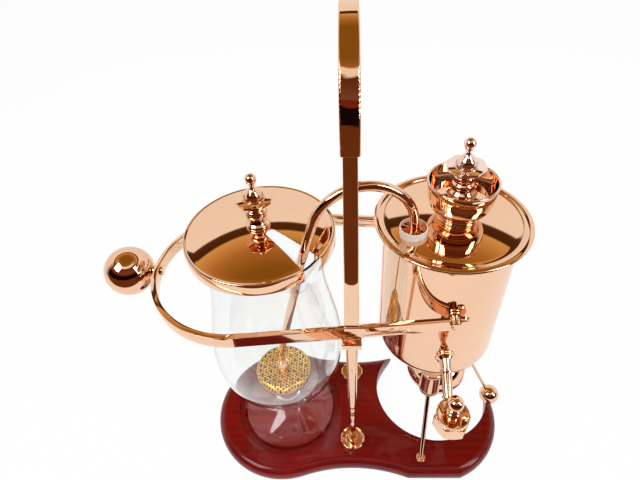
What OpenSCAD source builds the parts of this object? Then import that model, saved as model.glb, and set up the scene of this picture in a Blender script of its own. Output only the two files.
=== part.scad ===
// Balance siphon coffee maker: a boiler and a counterweight hang on one beam over a wooden base,
// and a bent tube carries the water from the boiler to the glass and the coffee back again.
// Origin: on the table, midway between the two posts. +X points to the boiler, +Z points up.

/* [Base] */
// Thickness of the wooden base
base_t = 18; // [17.5:0.5:22]
// Radius of the base's rounded edge
edge_r = 8.5; // [3:0.5:8.5]
// Radius of the round left and right ends
lobe_r = 69; // [67:0.5:72]
// Half of the base's depth at its waist
waist_half = 57; // [52:0.5:61]
// Distance from the posts to the centre of the left end
left_lobe_x = 69; // [66:0.5:74]
// Distance from the posts to the centre of the right end
right_lobe_x = 74; // [70:0.5:78]
// Distance by which the base's own centreline lies in front of the posts
base_forward = 3; // [0:0.5:5]
// Depth of the recess that holds the glass foot
recess_depth = 4.5; // [2:0.5:7]
// Gap all round between the glass foot and the recess wall
recess_gap = 5.5; // [1:0.5:7]
// Radius of the opening under the boiler
opening_r = 56; // [52:0.5:58]
// Distance from the posts to the centre of that opening
opening_x = 82; // [80:0.5:85]
// Distance by which the opening's centre lies behind the posts
opening_back = 19; // [17:0.5:24]

/* [Posts] */
// Half of the distance between the two post feet
foot_half = 37; // [32:0.5:44]
// Diameter of each foot disc
foot_d = 23; // [18:0.5:26]
// Height of each foot disc's raised rim
foot_h = 3.2; // [2.4:0.2:5]
// Height of the legs, from the foot disc to the yoke
leg_h = 183; // [170:1:195]
// Diameter of a leg just above its foot
leg_d_low = 7; // [6:0.25:8]
// Diameter of a leg just under its yoke
leg_d_high = 8.3; // [7:0.25:9.5]
// Diameter of the threaded stud that goes through the base
stud_d = 6; // [4:0.5:6]
// Width of the plate on which each yoke stands
yoke_w = 13; // [12:0.5:15]
// Thickness of that plate
yoke_plate = 4.5; // [3:0.25:6]
// Thickness of the yoke's upper plate
yoke_cap = 3.5; // [2.5:0.25:5]
// Thickness of the yoke's upright web
yoke_web = 4.1; // [3:0.1:5]
// Gap above and below the beam inside the yoke
yoke_gap = 0.75; // [0.7:0.05:1]
// Width of a flat upright at its lower end, along the beam
upright_w = 9.7; // [8.5:0.1:11]
// Width of a flat upright at its upper end
upright_top_w = 7.6; // [6:0.1:9]
// Height of the flat uprights
upright_h = 124; // [112:1:136]
// Thickness of the uprights and of the arch band
band_t = 5; // [4:0.25:6]
// Width of the arch band
arch_w = 10.4; // [10:0.2:13]
// Inner radius of the arch
arch_r = 50; // [46:0.5:54]

/* [Beam] */
// Height of the beam's flat band
beam_h = 9.5; // [8.5:0.25:11]
// Thickness of the beam's flat band
beam_t = 4; // [3.5:0.1:5]
// How far inside the beam's round end stands off the boiler's radius
beam_room = 18; // [16:0.5:22]
// Distance from the posts to the centre of the round end
u_x = 83; // [80:0.5:88]
// Length of the beam on the boiler's side of the posts
beam_right = 79.5; // [77:0.5:84]
// Angle by which each side of the beam runs inward
beam_taper = 5.6; // [5.2:0.1:6]
// Diameter of the pins that the beam tilts on
pivot_d = 4; // [3:0.25:5]
// Radial clearance of each pin in its hole
pin_fit = 0.05; // [0.02:0.01:0.1]
// Radius of the counterweight ball
weight_r = 19; // [16:0.5:21]
// Length of the stud that shows between the beam and the ball
weight_gap = 2; // [1:0.5:5]
// Diameter of that stud
weight_stud_d = 4; // [3:0.5:6]

/* [Glass] */
// Distance from the posts to the axis of the glass
glass_x = 64.7; // [64:0.1:66]
// Wall of the glass
glass_wall = 1.8; // [1.4:0.1:2.4]
// Radius of the glass foot
glass_foot_r = 47; // [42:0.5:48]
// Height of the stem's narrowest place above the recess floor
stem_h = 21.5; // [18:0.5:26]
// Radius of the stem
stem_r = 9; // [7:0.25:10]
// Height of the widest place above the stem
bulge_h = 90; // [84:1:96]
// Radius of the widest place
bulge_r = 56; // [54:0.5:58]
// Height of the waist above the widest place
waist_h = 97; // [90:1:104]
// Radius of the waist under the mouth
waist_r = 44; // [43.5:0.25:46]
// Height of the mouth above the waist
mouth_h = 27; // [22:0.5:32]
// Radius of the mouth
mouth_r = 48.4; // [47.8:0.2:49.4]

/* [Glass lid] */
// Radius of the lid
lid_r = 54; // [53:0.25:56]
// Depth of the lid's outer skirt
skirt_h = 9.5; // [6:0.5:12]
// Depth of the lid's dish below its rim
lid_dish = 7; // [5:0.5:8]
// Width of the slot at its inner end
slot_in_w = 7.6; // [7.4:0.2:10]
// Width of the slot at the rim
slot_out_w = 17; // [15:0.5:20]
// Thickness of the sheet metal of the lid, boiler and cover
sheet = 0.8; // [0.6:0.05:1]

/* [Knobs] */
// Diameter of the ball on top of each knob
knob_ball_d = 7.8; // [6:0.2:9]
// Width of the eight-sided plate across its corners
knob_plate_w = 24; // [20:0.2:26]
// Thickness of the eight-sided plate
knob_plate_t = 2; // [1.5:0.1:3]
// Height of the ball's centre above the plate
knob_ball_h = 15; // [14:0.25:18]
// Height of the turned stem on the glass lid
lid_stem_h = 33.2; // [30:0.2:37]
// Height of the turned stem on the filler plug
plug_stem_h = 20.4; // [18:0.2:24]

/* [Boiler] */
// Distance from the posts to the axis of the boiler
boiler_x = 68.8; // [68:0.2:70]
// Outer radius of the boiler
boiler_r = 46; // [44:0.25:46.5]
// Height of the boiler under its cover
boiler_h = 127.7; // [120:0.1:132]
// Radius of the boiler's bottom corner
corner_r = 20; // [12:0.5:24]
// Distance from the beam's middle up to the cover's rim
cover_rise = 50; // [47:0.5:54]
// Radius of the cover
cover_r = 52.4; // [51.5:0.2:54]
// Width of the cover's flat rim
cover_rim = 5; // [3.6:0.2:5.2]
// Depth of the cover's dish below its rim
cover_dish = 6.5; // [5:0.5:8]
// Radius of the trunnions that rest on the beam
trunnion_r = 3.5; // [3:0.25:4]
// Height of the trunnions above the beam's middle
trunnion_rise = 2; // [1.5:0.25:2.5]
// Distance from the boiler's axis to the filler's axis
filler_shift = 3.2; // [2:0.2:4]
// Outer radius of the filler's neck
neck_r = 12.5; // [11.5:0.25:13.5]
// Height of the neck above the cover
neck_h = 9.5; // [8:0.5:13]
// Outer radius of the filler cup at its rim
cup_r = 22.6; // [21:0.2:24]
// Height of the filler cup above the neck
cup_h = 27; // [25:0.5:30]

/* [Siphon] */
// Outer diameter of the siphon tube
tube_d = 6.5; // [6:0.1:7]
// Wall of the siphon tube
tube_wall = 0.75; // [0.5:0.05:1]
// Distance of the stopper from the boiler's axis
stopper_out = 32; // [31:0.2:32.6]
// Bearing of the stopper from the boiler's axis, in degrees
stopper_at = 209.4; // [206:0.2:212]
// Radius of the stopper's head
stopper_r = 9.3; // [8.6:0.1:9.4]
// Height of the stopper's head
stopper_h = 7.6; // [6:0.2:9]
// Radius of the tube's large bend
bend_r = 33.5; // [32.5:0.1:34]
// Bearing in which the tube leaves the stopper, in degrees
bend_at = 189.3; // [188.5:0.1:190]
// Height of the bend's top above the cover's rim
bend_top = 41.5; // [38:0.5:45]
// Angle between the falling tube and the vertical
fall_angle = 17; // [16:0.25:18]
// Height of the filter's rim above the stem of the glass
filter_h = 46; // [40:0.5:52]
// Radius of the perforated filter
filter_r = 26; // [24:0.5:28]
// Diameter of each hole in the filter
filter_hole_d = 2.2; // [1.6:0.1:2.4]
// Distance between neighbouring rings of holes
filter_pitch = 4.4; // [3.8:0.1:4.6]

/* [Tap] */
// Height of the tap above the boiler's bottom
tap_rise = 36.5; // [33:0.5:44]
// Distance from the boiler's axis to the tap's axis
tap_out = 87; // [82:0.5:92]
// Drop of the tap's pipe between the boiler and the valve
tap_drop = 16.5; // [12:0.5:20]
// Width of the hexagonal valve body across its flats
valve_w = 22; // [20:0.5:24]
// Height of the hexagonal valve body
valve_h = 12; // [10:0.5:14]
// Radius of the turning plug inside the valve
key_r = 5; // [4:0.25:6]
// Diameter of the ball on the tap's handle
tap_ball_d = 11.2; // [9:0.2:13]

/* [Burner] */
// Distance from the posts to the burner's axis
burner_x = 82.4; // [81:0.2:84]
// Distance by which the burner lies behind the posts
burner_back = 17; // [16:0.5:19]
// Depth of the burner's underside below the boiler's underside
burner_drop = 90; // [86:1:94]
// Radius of the rounding of the burner's bowl
bowl_r = 20; // [18:0.5:20.5]
// Half of the width of the bowl's flat top
bowl_flat = 7.8; // [7:0.2:8]
// Radius of the collar that holds the wick
collar_r = 11; // [9.5:0.25:12]
// Height of that collar
collar_h = 13.5; // [11:0.5:15]
// Radius of the wick
wick_r = 3.5; // [2.5:0.25:4]
// Radius of the sleeve in front of the bowl
sleeve_r = 9.3; // [8:0.1:9.4]
// Height of the sleeve
sleeve_h = 30; // [26:1:34]
// Diameter of the arm that carries the burner
arm_d = 4; // [3:0.25:5]
// Distance from the burner's axis to the snuffer's hinge
hinge_out = 24; // [23:0.25:25]
// Angle by which the snuffer stands open
open_angle = 70; // [66:1:73]
// Distance from the burner's axis to the snuffer's ball, at rest
snuffer_reach = 56.2; // [54:0.2:58]
// Radius of the snuffer's ball
snuffer_ball_r = 9.4; // [8:0.2:9.6]
// Diameter of the snuffer's lever
lever_d = 3; // [2.4:0.2:3.4]

/* [Hidden] */
$fn = 96;

// Gap between pieces of different bodies that lie against each other
seat = 0.3;
// A little more than nothing, for cutters that pass through a face
eps = 0.5;

base_top = base_t;
recess_floor = base_top - recess_depth;
leg_low = base_top + foot_h + 0.8;
yoke_low = leg_low + leg_h;
beam_low = yoke_low + yoke_plate + yoke_gap;
beam_z = beam_low + beam_h / 2;
beam_high = beam_low + beam_h;
yoke_high = beam_high + yoke_gap + yoke_cap;
arch_z = yoke_high + upright_h;

// The beam's round end meets each side at a tangent point
u_r = boiler_r + beam_room;
u_mid = u_r + beam_t / 2;
tangent_x = -u_x + u_mid * sin(beam_taper);
tangent_y = u_mid * cos(beam_taper);
beam_in_y = beam_half(0) - beam_t / 2;
web_out_y = beam_in_y - 0.6;
web_in_y = web_out_y - yoke_web;
arch_mid = arch_r + band_t / 2;

stem_z = recess_floor + stem_h;
bulge_z = stem_z + bulge_h;
waist_z = bulge_z + waist_h;
mouth_z = waist_z + mouth_h;
// The lid's dish rests on the mouth of the glass
lid_slope_r = 44.5;
lid_rim_r = 50.5;
lid_mouth_rise = lid_dish * (mouth_r - glass_wall - lid_slope_r - sheet) / (lid_rim_r - lid_slope_r);
dish_z = mouth_z + seat + sheet - lid_mouth_rise;
lid_z = dish_z + lid_dish;

cover_z = beam_z + cover_rise;
cover_floor = cover_z - cover_dish;
boiler_top = cover_floor + 1.2;
boiler_low = boiler_top - boiler_h;
trunnion_z = beam_z + trunnion_rise;
filler_x = boiler_x + filler_shift;
cup_z = cover_floor + neck_h;
cup_top = cup_z + cup_h;
flare_h = 8;
plug_z = cup_z + flare_h + 8;
plug_flange_t = 1.5;

stopper_x = boiler_x + stopper_out * cos(stopper_at);
stopper_y = stopper_out * sin(stopper_at);
stopper_z = cover_floor + seat;
bend_z = cover_z + bend_top - bend_r;
tube_low = boiler_low + 10;
// Where the bend ends, and where the falling tube passes through the lid
fall_s = bend_r * (1 + cos(fall_angle));
fall_z = bend_z + bend_r * sin(fall_angle);
kink_z = dish_z - 3;
kink_s = fall_s + (fall_z - kink_z) * tan(fall_angle);
kink = [stopper_x + kink_s * cos(bend_at), stopper_y + kink_s * sin(bend_at), kink_z];
slot_at = atan2(kink[1], kink[0] + glass_x) + 1.2;
filter_z = stem_z + filter_h;
filter_crown = 6;
hub_low = filter_z + filter_crown;
drop_top = [-glass_x, 0, hub_low + 22];

tap_z = boiler_low + tap_rise;
valve_z = tap_z - tap_drop;
valve_top = valve_z + valve_h / 2;
valve_low = valve_top - valve_h;
gland_h = 4.4;
gland_top = valve_top + gland_h;
tap_y = -tap_out;

bowl_z = boiler_low - burner_drop;
bowl_top = bowl_z + 2 * bowl_r;
bowl_mid = bowl_z + bowl_r;
collar_top = bowl_top + collar_h;
tube_top = collar_top + 4.5;
wick_top = tube_top + 4;
hinge_z = collar_top - 3.5;
snuffer_at = -10.25;
cap_r = 10;
cap_h = 10;
pin_r = 1.2;
ball_out = snuffer_reach - hinge_out;
ball_drop = hinge_z - base_top - snuffer_ball_r - 0.6;
sleeve = [burner_x - 11.9, burner_back - 31.5, tube_top + 4 - sleeve_h];
arm_foot = [burner_x - 19, burner_back - 71.3, base_top];

brass_rose = "#E3A97C";
rose_dark = "#B9774E";
mahogany = "#7A0A0F";
clear_glass = [0.85, 0.92, 0.95, 0.35];

// Half of the distance between the middles of the beam's two sides, at a place along it
function beam_half(x) = tangent_y - (x - tangent_x) * tan(beam_taper);
// Outer radius of the glass at a height
function glass_r(z) =
    z < bulge_z ? stem_r + (bulge_r - stem_r) * sin(90 * (z - stem_z) / bulge_h)
    : z < waist_z ? waist_r + (bulge_r - waist_r) * (1 + cos(180 * (z - bulge_z) / waist_h)) / 2
    : mouth_r + (waist_r - mouth_r) * (1 + cos(180 * (z - waist_z) / mouth_h)) / 2;
// Outer radius of the glass foot at a height
function foot_r(z) = stem_r + (glass_foot_r - stem_r) * pow(1 - (z - recess_floor - 2) / (stem_h - 2), 1.7);
// Inner radius of the filler cup's flare
function flare_r(z) = neck_r + (cup_r - 4 - neck_r) * (z - cup_z) / flare_h;

// A cylinder or cone whose axis runs from p to q
module rod(p, q, d1, d2) {
    v = q - p;
    translate(p)
        rotate([0, acos(v[2] / norm(v)), atan2(v[1], v[0])])
            cylinder(h = norm(v), d1 = d1, d2 = d2);
}

// A flat shape with rounded corners, centred
module rounded(w, h, r) {
    square([w - 2 * r, h], center = true);
    square([w, h - 2 * r], center = true);
    for (x = [-1, 1], y = [-1, 1])
        translate([x * (w / 2 - r), y * (h / 2 - r)])
            circle(r, $fn = 32);
}

// A ring of round section about the Z axis
module bead(r, z, thick) {
    rotate_extrude()
        translate([r, z])
            circle(d = thick, $fn = 32);
}

// A disc of the base's thickness with a half-round edge
module edge_disc(r) {
    rotate_extrude() {
        square([r - edge_r, base_t]);
        translate([0, edge_r])
            square([r, base_t - 2 * edge_r]);
        for (z = [edge_r, base_t - edge_r])
            translate([r - edge_r, z])
                circle(edge_r, $fn = 48);
    }
}

// The tool that cuts one hollow side of the waist, leaving the same half-round edge
module waist_cutter(r) {
    rotate_extrude()
        difference() {
            translate([0, -eps])
                square([r + edge_r, base_t + 2 * eps]);
            translate([r, edge_r])
                square([edge_r + eps, base_t - 2 * edge_r]);
            for (z = [edge_r, base_t - edge_r])
                translate([r + edge_r, z])
                    circle(edge_r, $fn = 48);
        }
}

// The waist between the two lobes: its hollow sides overlap the lobes by waist_bite
waist_bite = 0.6;
waist_span = (left_lobe_x + right_lobe_x) / 2;
waist_mid = (right_lobe_x - left_lobe_x) / 2;
near_r = lobe_r - waist_bite;
hollow_r = (pow(waist_span, 2) + pow(waist_half, 2) - pow(near_r, 2)) / (2 * (near_r - waist_half));
hollow_y = hollow_r + waist_half;
meet = (lobe_r - waist_bite / 2) / (near_r + hollow_r);

module base() color(mahogany) {
    difference() {
        translate([0, -base_forward, 0])
            difference() {
                union() {
                    translate([-left_lobe_x, 0, 0])
                        edge_disc(lobe_r);
                    translate([right_lobe_x, 0, 0])
                        edge_disc(lobe_r);
                    translate([waist_mid, 0, base_t / 2])
                        cube([2 * waist_span * (1 - meet), 2 * hollow_y * meet, base_t], center = true);
                }
                for (side = [-1, 1])
                    translate([waist_mid, side * hollow_y, 0])
                        waist_cutter(hollow_r);
            }
        translate([-glass_x, 0, recess_floor])
            cylinder(h = recess_depth + eps, r = glass_foot_r + recess_gap);
        translate([opening_x, opening_back, -eps])
            cylinder(h = base_t + 2 * eps, r = opening_r);
        for (side = [-1, 1])
            translate([0, side * foot_half, -eps]) {
                cylinder(h = base_top + 2 * eps, d = stud_d + 0.1);
                cylinder(h = 6 + eps, d = 16);
            }
        translate(arm_foot - [0, 0, 9])
            cylinder(h = 9 + eps, d = arm_d + 0.1);
    }
}

// A turned disc with a raised, notched rim and a small boss, through which the leg's stud passes
module foot(side) color(brass_rose) {
    rim = foot_d / 2;
    translate([0, side * foot_half, base_top])
        difference() {
            rotate_extrude() {
                square([rim, 1.2]);
                translate([rim - 1.3, 0])
                    square([1.3, foot_h - 0.65]);
                translate([rim - 0.65, foot_h - 0.65])
                    circle(0.65, $fn = 24);
                polygon([[0, 0], [6.2, 0], [6.2, 1.2], [5, foot_h - 0.6], [4.4, foot_h + 0.8], [0, foot_h + 0.8]]);
            }
            translate([0, 0, -eps])
                cylinder(h = foot_h + 2, d = stud_d + 0.1);
            for (k = [0:5])
                rotate([0, 0, 60 * k - 90])
                    translate([rim + 0.5, 0, -eps])
                        cylinder(h = foot_h + 2, r = 1.6, $fn = 24);
        }
}

module foot_front() foot(-1);
module foot_back() foot(1);

// A round tapered leg that leans outward, with the stud that holds it to the base
module leg(side) color(brass_rose) {
    top_y = beam_half(0) + 1.3;
    lean = [0, side * (top_y - foot_half), leg_h];
    intersection() {
        rod([0, side * foot_half, leg_low] - lean * 0.05, [0, side * top_y, yoke_low] + lean * 0.05,
            leg_d_low, leg_d_high);
        translate([-foot_d, -2 * u_r, leg_low])
            cube([2 * foot_d, 4 * u_r, leg_h]);
    }
    translate([0, side * foot_half, 0.6])
        cylinder(h = leg_low - 0.6, d = stud_d);
}

module leg_front() leg(-1);
module leg_back() leg(1);

module leg_nuts() color("#B8B8B4") {
    for (side = [-1, 1])
        translate([0, side * foot_half, 1])
            difference() {
                union() {
                    cylinder(h = 4, r = 5.8, $fn = 6);
                    translate([0, 0, 4])
                        cylinder(h = 1, r = 7);
                }
                translate([0, 0, -eps])
                    cylinder(h = 6, d = stud_d + 0.1);
            }
}

// A bracket that is open to the outside, round the beam
module yoke(side) color(brass_rose) {
    plate_d = beam_half(0) + 7.4 - web_in_y;
    cap_d = beam_half(0) + 4.2 - web_in_y;
    mirror([0, side < 0 ? 1 : 0, 0])
        difference() {
            union() {
                translate([-yoke_w / 2, web_in_y, yoke_low])
                    cube([yoke_w, plate_d, yoke_plate]);
                translate([-4.5, web_in_y, yoke_low])
                    cube([9, yoke_web, yoke_high - yoke_low]);
                translate([-upright_w / 2, web_in_y, yoke_high - yoke_cap])
                    cube([upright_w, cap_d, yoke_cap]);
            }
            translate([0, web_in_y - eps, beam_z])
                rotate([-90, 0, 0])
                    cylinder(h = yoke_web + 2 * eps, d = pivot_d);
        }
}

module yoke_front() yoke(-1);
module yoke_back() yoke(1);

module pivot_pins() color(rose_dark) {
    for (side = [0, 1])
        mirror([0, side, 0])
            translate([0, web_in_y, beam_z])
                rotate([-90, 0, 0])
                    cylinder(h = beam_in_y - web_in_y + beam_t * 0.65, d = pivot_d);
}

// A flat tapered band that leans inward from the yoke to the foot of the arch
module upright(side) color(brass_rose) {
    foot_y = beam_half(0) + 0.8;
    lean = atan((foot_y - arch_mid) / upright_h);
    tall = upright_h / cos(lean);
    mirror([0, side < 0 ? 1 : 0, 0])
        intersection() {
            translate([0, foot_y, yoke_high])
                rotate([90 + lean, 0, 0])
                    linear_extrude(band_t, center = true)
                        polygon([
                            [-upright_w / 2, -1], [upright_w / 2, -1],
                            [upright_top_w / 2, tall + 1], [-upright_top_w / 2, tall + 1]]);
            translate([-upright_w, 0, yoke_high])
                cube([2 * upright_w, 2 * u_r, upright_h]);
        }
}

module upright_front() upright(-1);
module upright_back() upright(1);

module arch_handle() color(brass_rose) {
    translate([0, 0, arch_z])
        rotate([0, 90, 0])
            rotate([0, 0, 90])
                rotate_extrude(angle = 180)
                    translate([arch_mid, 0])
                        rounded(band_t, arch_w, 1);
}

// One straight side of the beam, from the tangent point to its round right end
module beam_side() {
    reach = (beam_right - tangent_x) / cos(beam_taper) - beam_h / 2;
    translate([tangent_x, tangent_y, beam_z])
        rotate([0, 0, -beam_taper])
            rotate([90, 0, 0])
                translate([0, 0, -beam_t / 2])
                    linear_extrude(beam_t) {
                        translate([0, -beam_h / 2])
                            square([reach, beam_h]);
                        translate([reach, 0])
                            circle(d = beam_h);
                    }
    translate([tangent_x, tangent_y, beam_z])
        rotate([0, 0, -beam_taper])
            cube([2, beam_t - 1, beam_h - 2], center = true);
}

module beam() color(brass_rose) {
    difference() {
        union() {
            translate([-u_x, 0, beam_low])
                rotate([0, 0, 90 - beam_taper])
                    rotate_extrude(angle = 180 + 2 * beam_taper)
                        translate([u_r, 0])
                            square([beam_t, beam_h]);
            for (side = [0, 1])
                mirror([0, side, 0])
                    beam_side();
        }
        for (side = [0, 1])
            mirror([0, side, 0]) {
                translate([0, beam_in_y - 3, beam_z])
                    rotate([-90, 0, 0])
                        cylinder(h = 3 + beam_t * 0.75, r = pivot_d / 2 + pin_fit);
                translate([boiler_x, boiler_r, trunnion_z])
                    rotate([-90, 0, 0])
                        cylinder(h = 20, r = trunnion_r + pin_fit);
                translate([boiler_x - trunnion_r - pin_fit, boiler_r, trunnion_z])
                    cube([2 * (trunnion_r + pin_fit), 20, beam_h]);
            }
        translate([-u_x - u_r + eps, 0, beam_z])
            rotate([0, -90, 0])
                cylinder(h = beam_t + 2 * eps, d = weight_stud_d + 0.1);
    }
}

module weight_stud() color(rose_dark) {
    translate([-u_x - u_r, 0, beam_z])
        rotate([0, -90, 0]) {
            translate([0, 0, -1.75])
                cylinder(h = 1.6, r = weight_stud_d / 2 + 1.5);
            translate([0, 0, -0.2])
                cylinder(h = beam_t + weight_gap + 4.2, d = weight_stud_d);
            translate([0, 0, beam_t])
                cylinder(h = weight_gap, r = weight_stud_d / 2 + 2);
        }
}

module weight_ball() color(brass_rose) {
    centre_x = -u_x - u_r - beam_t - weight_gap - weight_r;
    difference() {
        translate([centre_x, 0, beam_z])
            sphere(weight_r);
        translate([centre_x + weight_r - 4.5, 0, beam_z])
            rotate([0, 90, 0])
                cylinder(h = 10, d = weight_stud_d + 0.1);
        translate([centre_x + weight_r - 0.4, 0, beam_z])
            rotate([0, 90, 0])
                cylinder(h = 10, r = weight_stud_d / 2 + 2.4);
    }
}

// The glass: a hollow foot, a short solid stem and a pear-shaped bowl, as one outline
module glass_vessel() color(clear_glass) {
    bowl_floor = stem_z + 5;
    steps = 14;
    outer_foot = [for (k = [0:steps])
        let (z = recess_floor + 2 + (stem_h - 2) * k / steps)
        [foot_r(z), z]];
    outer_bowl = [for (k = [1:36])
        let (z = stem_z + (mouth_z - stem_z) * k / 36)
        [glass_r(z), z]];
    inner_bowl = [for (k = [36:-1:1])
        let (z = bowl_floor + (mouth_z - bowl_floor) * k / 36)
        [glass_r(z - (mouth_z - z) / 60) - glass_wall, z]];
    inner_foot = [for (k = [steps:-1:1])
        let (z = recess_floor + (stem_h - 7) * k / steps)
        [max(foot_r(z + 4.2) - 1, 1), z]];
    translate([-glass_x, 0, 0])
        rotate_extrude($fn = 128)
            polygon(concat(
                [[glass_foot_r, recess_floor]],
                outer_foot,
                outer_bowl,
                inner_bowl,
                [[0, bowl_floor], [0, recess_floor + stem_h - 7]],
                inner_foot,
                [[glass_foot_r - 3, recess_floor]]));
}

// A turned sheet of even thickness under a line of points with one slope in its middle
module sheet_turned(line, slope) {
    shift = [sheet * tan(slope / 2), -sheet];
    last = len(line) - 1;
    rotate_extrude($fn = 128)
        polygon(concat(line, [for (k = [last:-1:0]) line[k] + (k == 0 || k == last ? [0, -sheet] : shift)]));
}

module glass_lid() color(brass_rose) {
    difference() {
        translate([-glass_x, 0, 0]) {
            sheet_turned(
                [[0, dish_z], [lid_slope_r, dish_z], [lid_rim_r, lid_z], [lid_r, lid_z]],
                atan(lid_dish / (lid_rim_r - lid_slope_r)));
            translate([0, 0, lid_z - skirt_h])
                difference() {
                    cylinder(h = skirt_h - sheet / 2, r = lid_r, $fn = 128);
                    translate([0, 0, -eps])
                        cylinder(h = skirt_h + 2 * eps, r = lid_r - sheet, $fn = 128);
                }
        }
        translate([-glass_x, 0, lid_z - skirt_h - eps])
            rotate([0, 0, slot_at])
                linear_extrude(skirt_h + 2 * eps) {
                    translate([14, 0])
                        circle(d = slot_in_w);
                    polygon([
                        [14, -slot_in_w / 2], [lid_r + 2, -slot_out_w / 2],
                        [lid_r + 2, slot_out_w / 2], [14, slot_in_w / 2]]);
                }
    }
}

// The turned stem on the lid: a flange, two rings and a flared cup under the plate
module lid_knob_stem() color(rose_dark) {
    translate([-glass_x, 0, dish_z])
        rotate_extrude() {
            polygon([
                [0, 0], [8.6, 0], [8.6, 2], [6.4, 3.4], [5, 8], [5, 12], [7.9, 13.6], [7.9, 16],
                [5.4, 18], [5, 20.4], [7.3, 23], [7.3, 27], [5, 28.6], [5.4, lid_stem_h],
                [0, lid_stem_h]]);
            for (p = [[5, 9.6], [7.4, 14.8], [6.8, 25]])
                translate(p)
                    circle(r = 0.9, $fn = 24);
        }
}

module knob_plate(x, z) color(brass_rose) {
    translate([x, 0, z]) {
        rotate([0, 0, 22.5])
            cylinder(h = knob_plate_t, r = knob_plate_w / 2 / cos(22.5), $fn = 8);
        translate([0, 0, knob_plate_t])
            difference() {
                cylinder(h = 0.8, r = 7.8);
                cylinder(h = 1.6, r = 6.8);
            }
    }
}

// The dome, neck and ball above the plate
module knob_ball(x, z) color(rose_dark) {
    translate([x, 0, z + knob_plate_t])
        rotate_extrude()
            intersection() {
                union() {
                    polygon([
                        [0, 0], [6.2, 0], [6.2, 1], [5.4, 4], [3.6, 6.4], [1.9, 8], [1.7, 10],
                        [2.4, 11], [1.8, 11.8], [1.8, knob_ball_h - 2], [0, knob_ball_h]]);
                    translate([0, knob_ball_h])
                        circle(d = knob_ball_d);
                }
                square([knob_plate_w, knob_ball_h + knob_ball_d]);
            }
}

module lid_knob_plate() knob_plate(-glass_x, dish_z + lid_stem_h);
module lid_knob_ball() knob_ball(-glass_x, dish_z + lid_stem_h);

module boiler_shell() color(brass_rose) {
    difference() {
        translate([boiler_x, 0, boiler_low])
            rotate_extrude($fn = 128)
                difference() {
                    boiler_outline(boiler_r, boiler_h, corner_r);
                    translate([0, sheet])
                        boiler_outline(boiler_r - sheet, boiler_h, corner_r - sheet);
                }
        translate([boiler_x, -boiler_r + 4, tap_z])
            rotate([90, 0, 0])
                cylinder(h = 8, r = 2);
    }
}

module boiler_outline(r, h, corner) {
    translate([0, corner])
        square([r, h - corner]);
    square([r - corner, corner + eps]);
    intersection() {
        translate([r - corner, corner])
            circle(corner);
        square([r, corner]);
    }
}

module boiler_cover() color(brass_rose) {
    slope_r = cover_r - cover_rim - 4;
    socket_r = boiler_r - sheet;
    difference() {
        translate([boiler_x, 0, 0]) {
            sheet_turned(
                [[0, cover_floor], [slope_r, cover_floor], [slope_r + 4, cover_z], [cover_r, cover_z]],
                atan(cover_dish / 4));
            bead(cover_r - 0.6, cover_z - 1.6, 2.4);
            translate([0, 0, cover_floor - 4])
                difference() {
                    cylinder(h = 4 - sheet / 2, r = slope_r);
                    translate([0, 0, -eps])
                        cylinder(h = 6, r = slope_r - sheet);
                }
        }
        translate([filler_x, 0, cover_floor - 6])
            cylinder(h = 8, r = neck_r);
        translate([stopper_x, stopper_y, cover_floor - 6])
            cylinder(h = 8, r = stopper_r - 1.7);
    }
    translate([boiler_x, 0, boiler_top - 3])
        difference() {
            cylinder(h = 3, r = socket_r);
            translate([0, 0, -eps])
                cylinder(h = 5, r = slope_r);
        }
}

module trunnion(side) color(rose_dark) {
    difference() {
        translate([boiler_x, 0, trunnion_z])
            rotate([-90 * side, 0, 0]) {
                cylinder(h = beam_half(boiler_x) + beam_t / 2 + 2.2, r = trunnion_r);
                cylinder(h = beam_half(boiler_x) - beam_t / 2 - 0.9, r = trunnion_r + 1.6);
            }
        translate([boiler_x, 0, boiler_low])
            cylinder(h = 2 * boiler_h, r = boiler_r, $fn = 128);
    }
}

module trunnion_front() trunnion(-1);
module trunnion_back() trunnion(1);

// The filler cup: a neck that goes through the cover, a flare and a wide rim
module filler_cup() color(brass_rose) {
    translate([filler_x, 0, 0])
        rotate_extrude() {
            polygon([
                [neck_r, cover_floor - 4], [neck_r, cup_z], [cup_r - 4, cup_z + flare_h],
                [cup_r, cup_top], [cup_r - 1, cup_top], [cup_r - 5, cup_z + flare_h],
                [neck_r - 1, cup_z], [neck_r - 1, cover_floor - 4]]);
            translate([neck_r + 0.6, cup_z - 0.6])
                circle(r = 1, $fn = 24);
            translate([cup_r - 0.4, cup_top - 0.4])
                circle(r = 0.8, $fn = 24);
            translate([neck_r - 0.4, cover_floor])
                square([2, 1.2]);
        }
}

module plug_seal() color("#F2F1EC") {
    translate([filler_x, 0, 0])
        rotate_extrude()
            polygon([
                [0, cup_z - 6], [neck_r - 1.8, cup_z - 6], [neck_r - 1.4, cup_z],
                [cup_r - 5.4, cup_z + flare_h], [cup_r - 5.4, plug_z], [0, plug_z]]);
}

module plug_knob_stem() color(rose_dark) {
    translate([filler_x, 0, plug_z])
        rotate_extrude() {
            square([cup_r - 6.4, plug_flange_t]);
            polygon([
                [0, 1], [9, plug_flange_t], [9, 3.4], [6.6, 5.6], [7.4, 7.6], [7.4, 9.4], [5.6, 11],
                [6.8, 13], [6.8, 15], [5, 16.4], [5.4, plug_stem_h], [0, plug_stem_h]]);
        }
}

module plug_knob_plate() knob_plate(filler_x, plug_z + plug_stem_h);
module plug_knob_ball() knob_ball(filler_x, plug_z + plug_stem_h);

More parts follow.
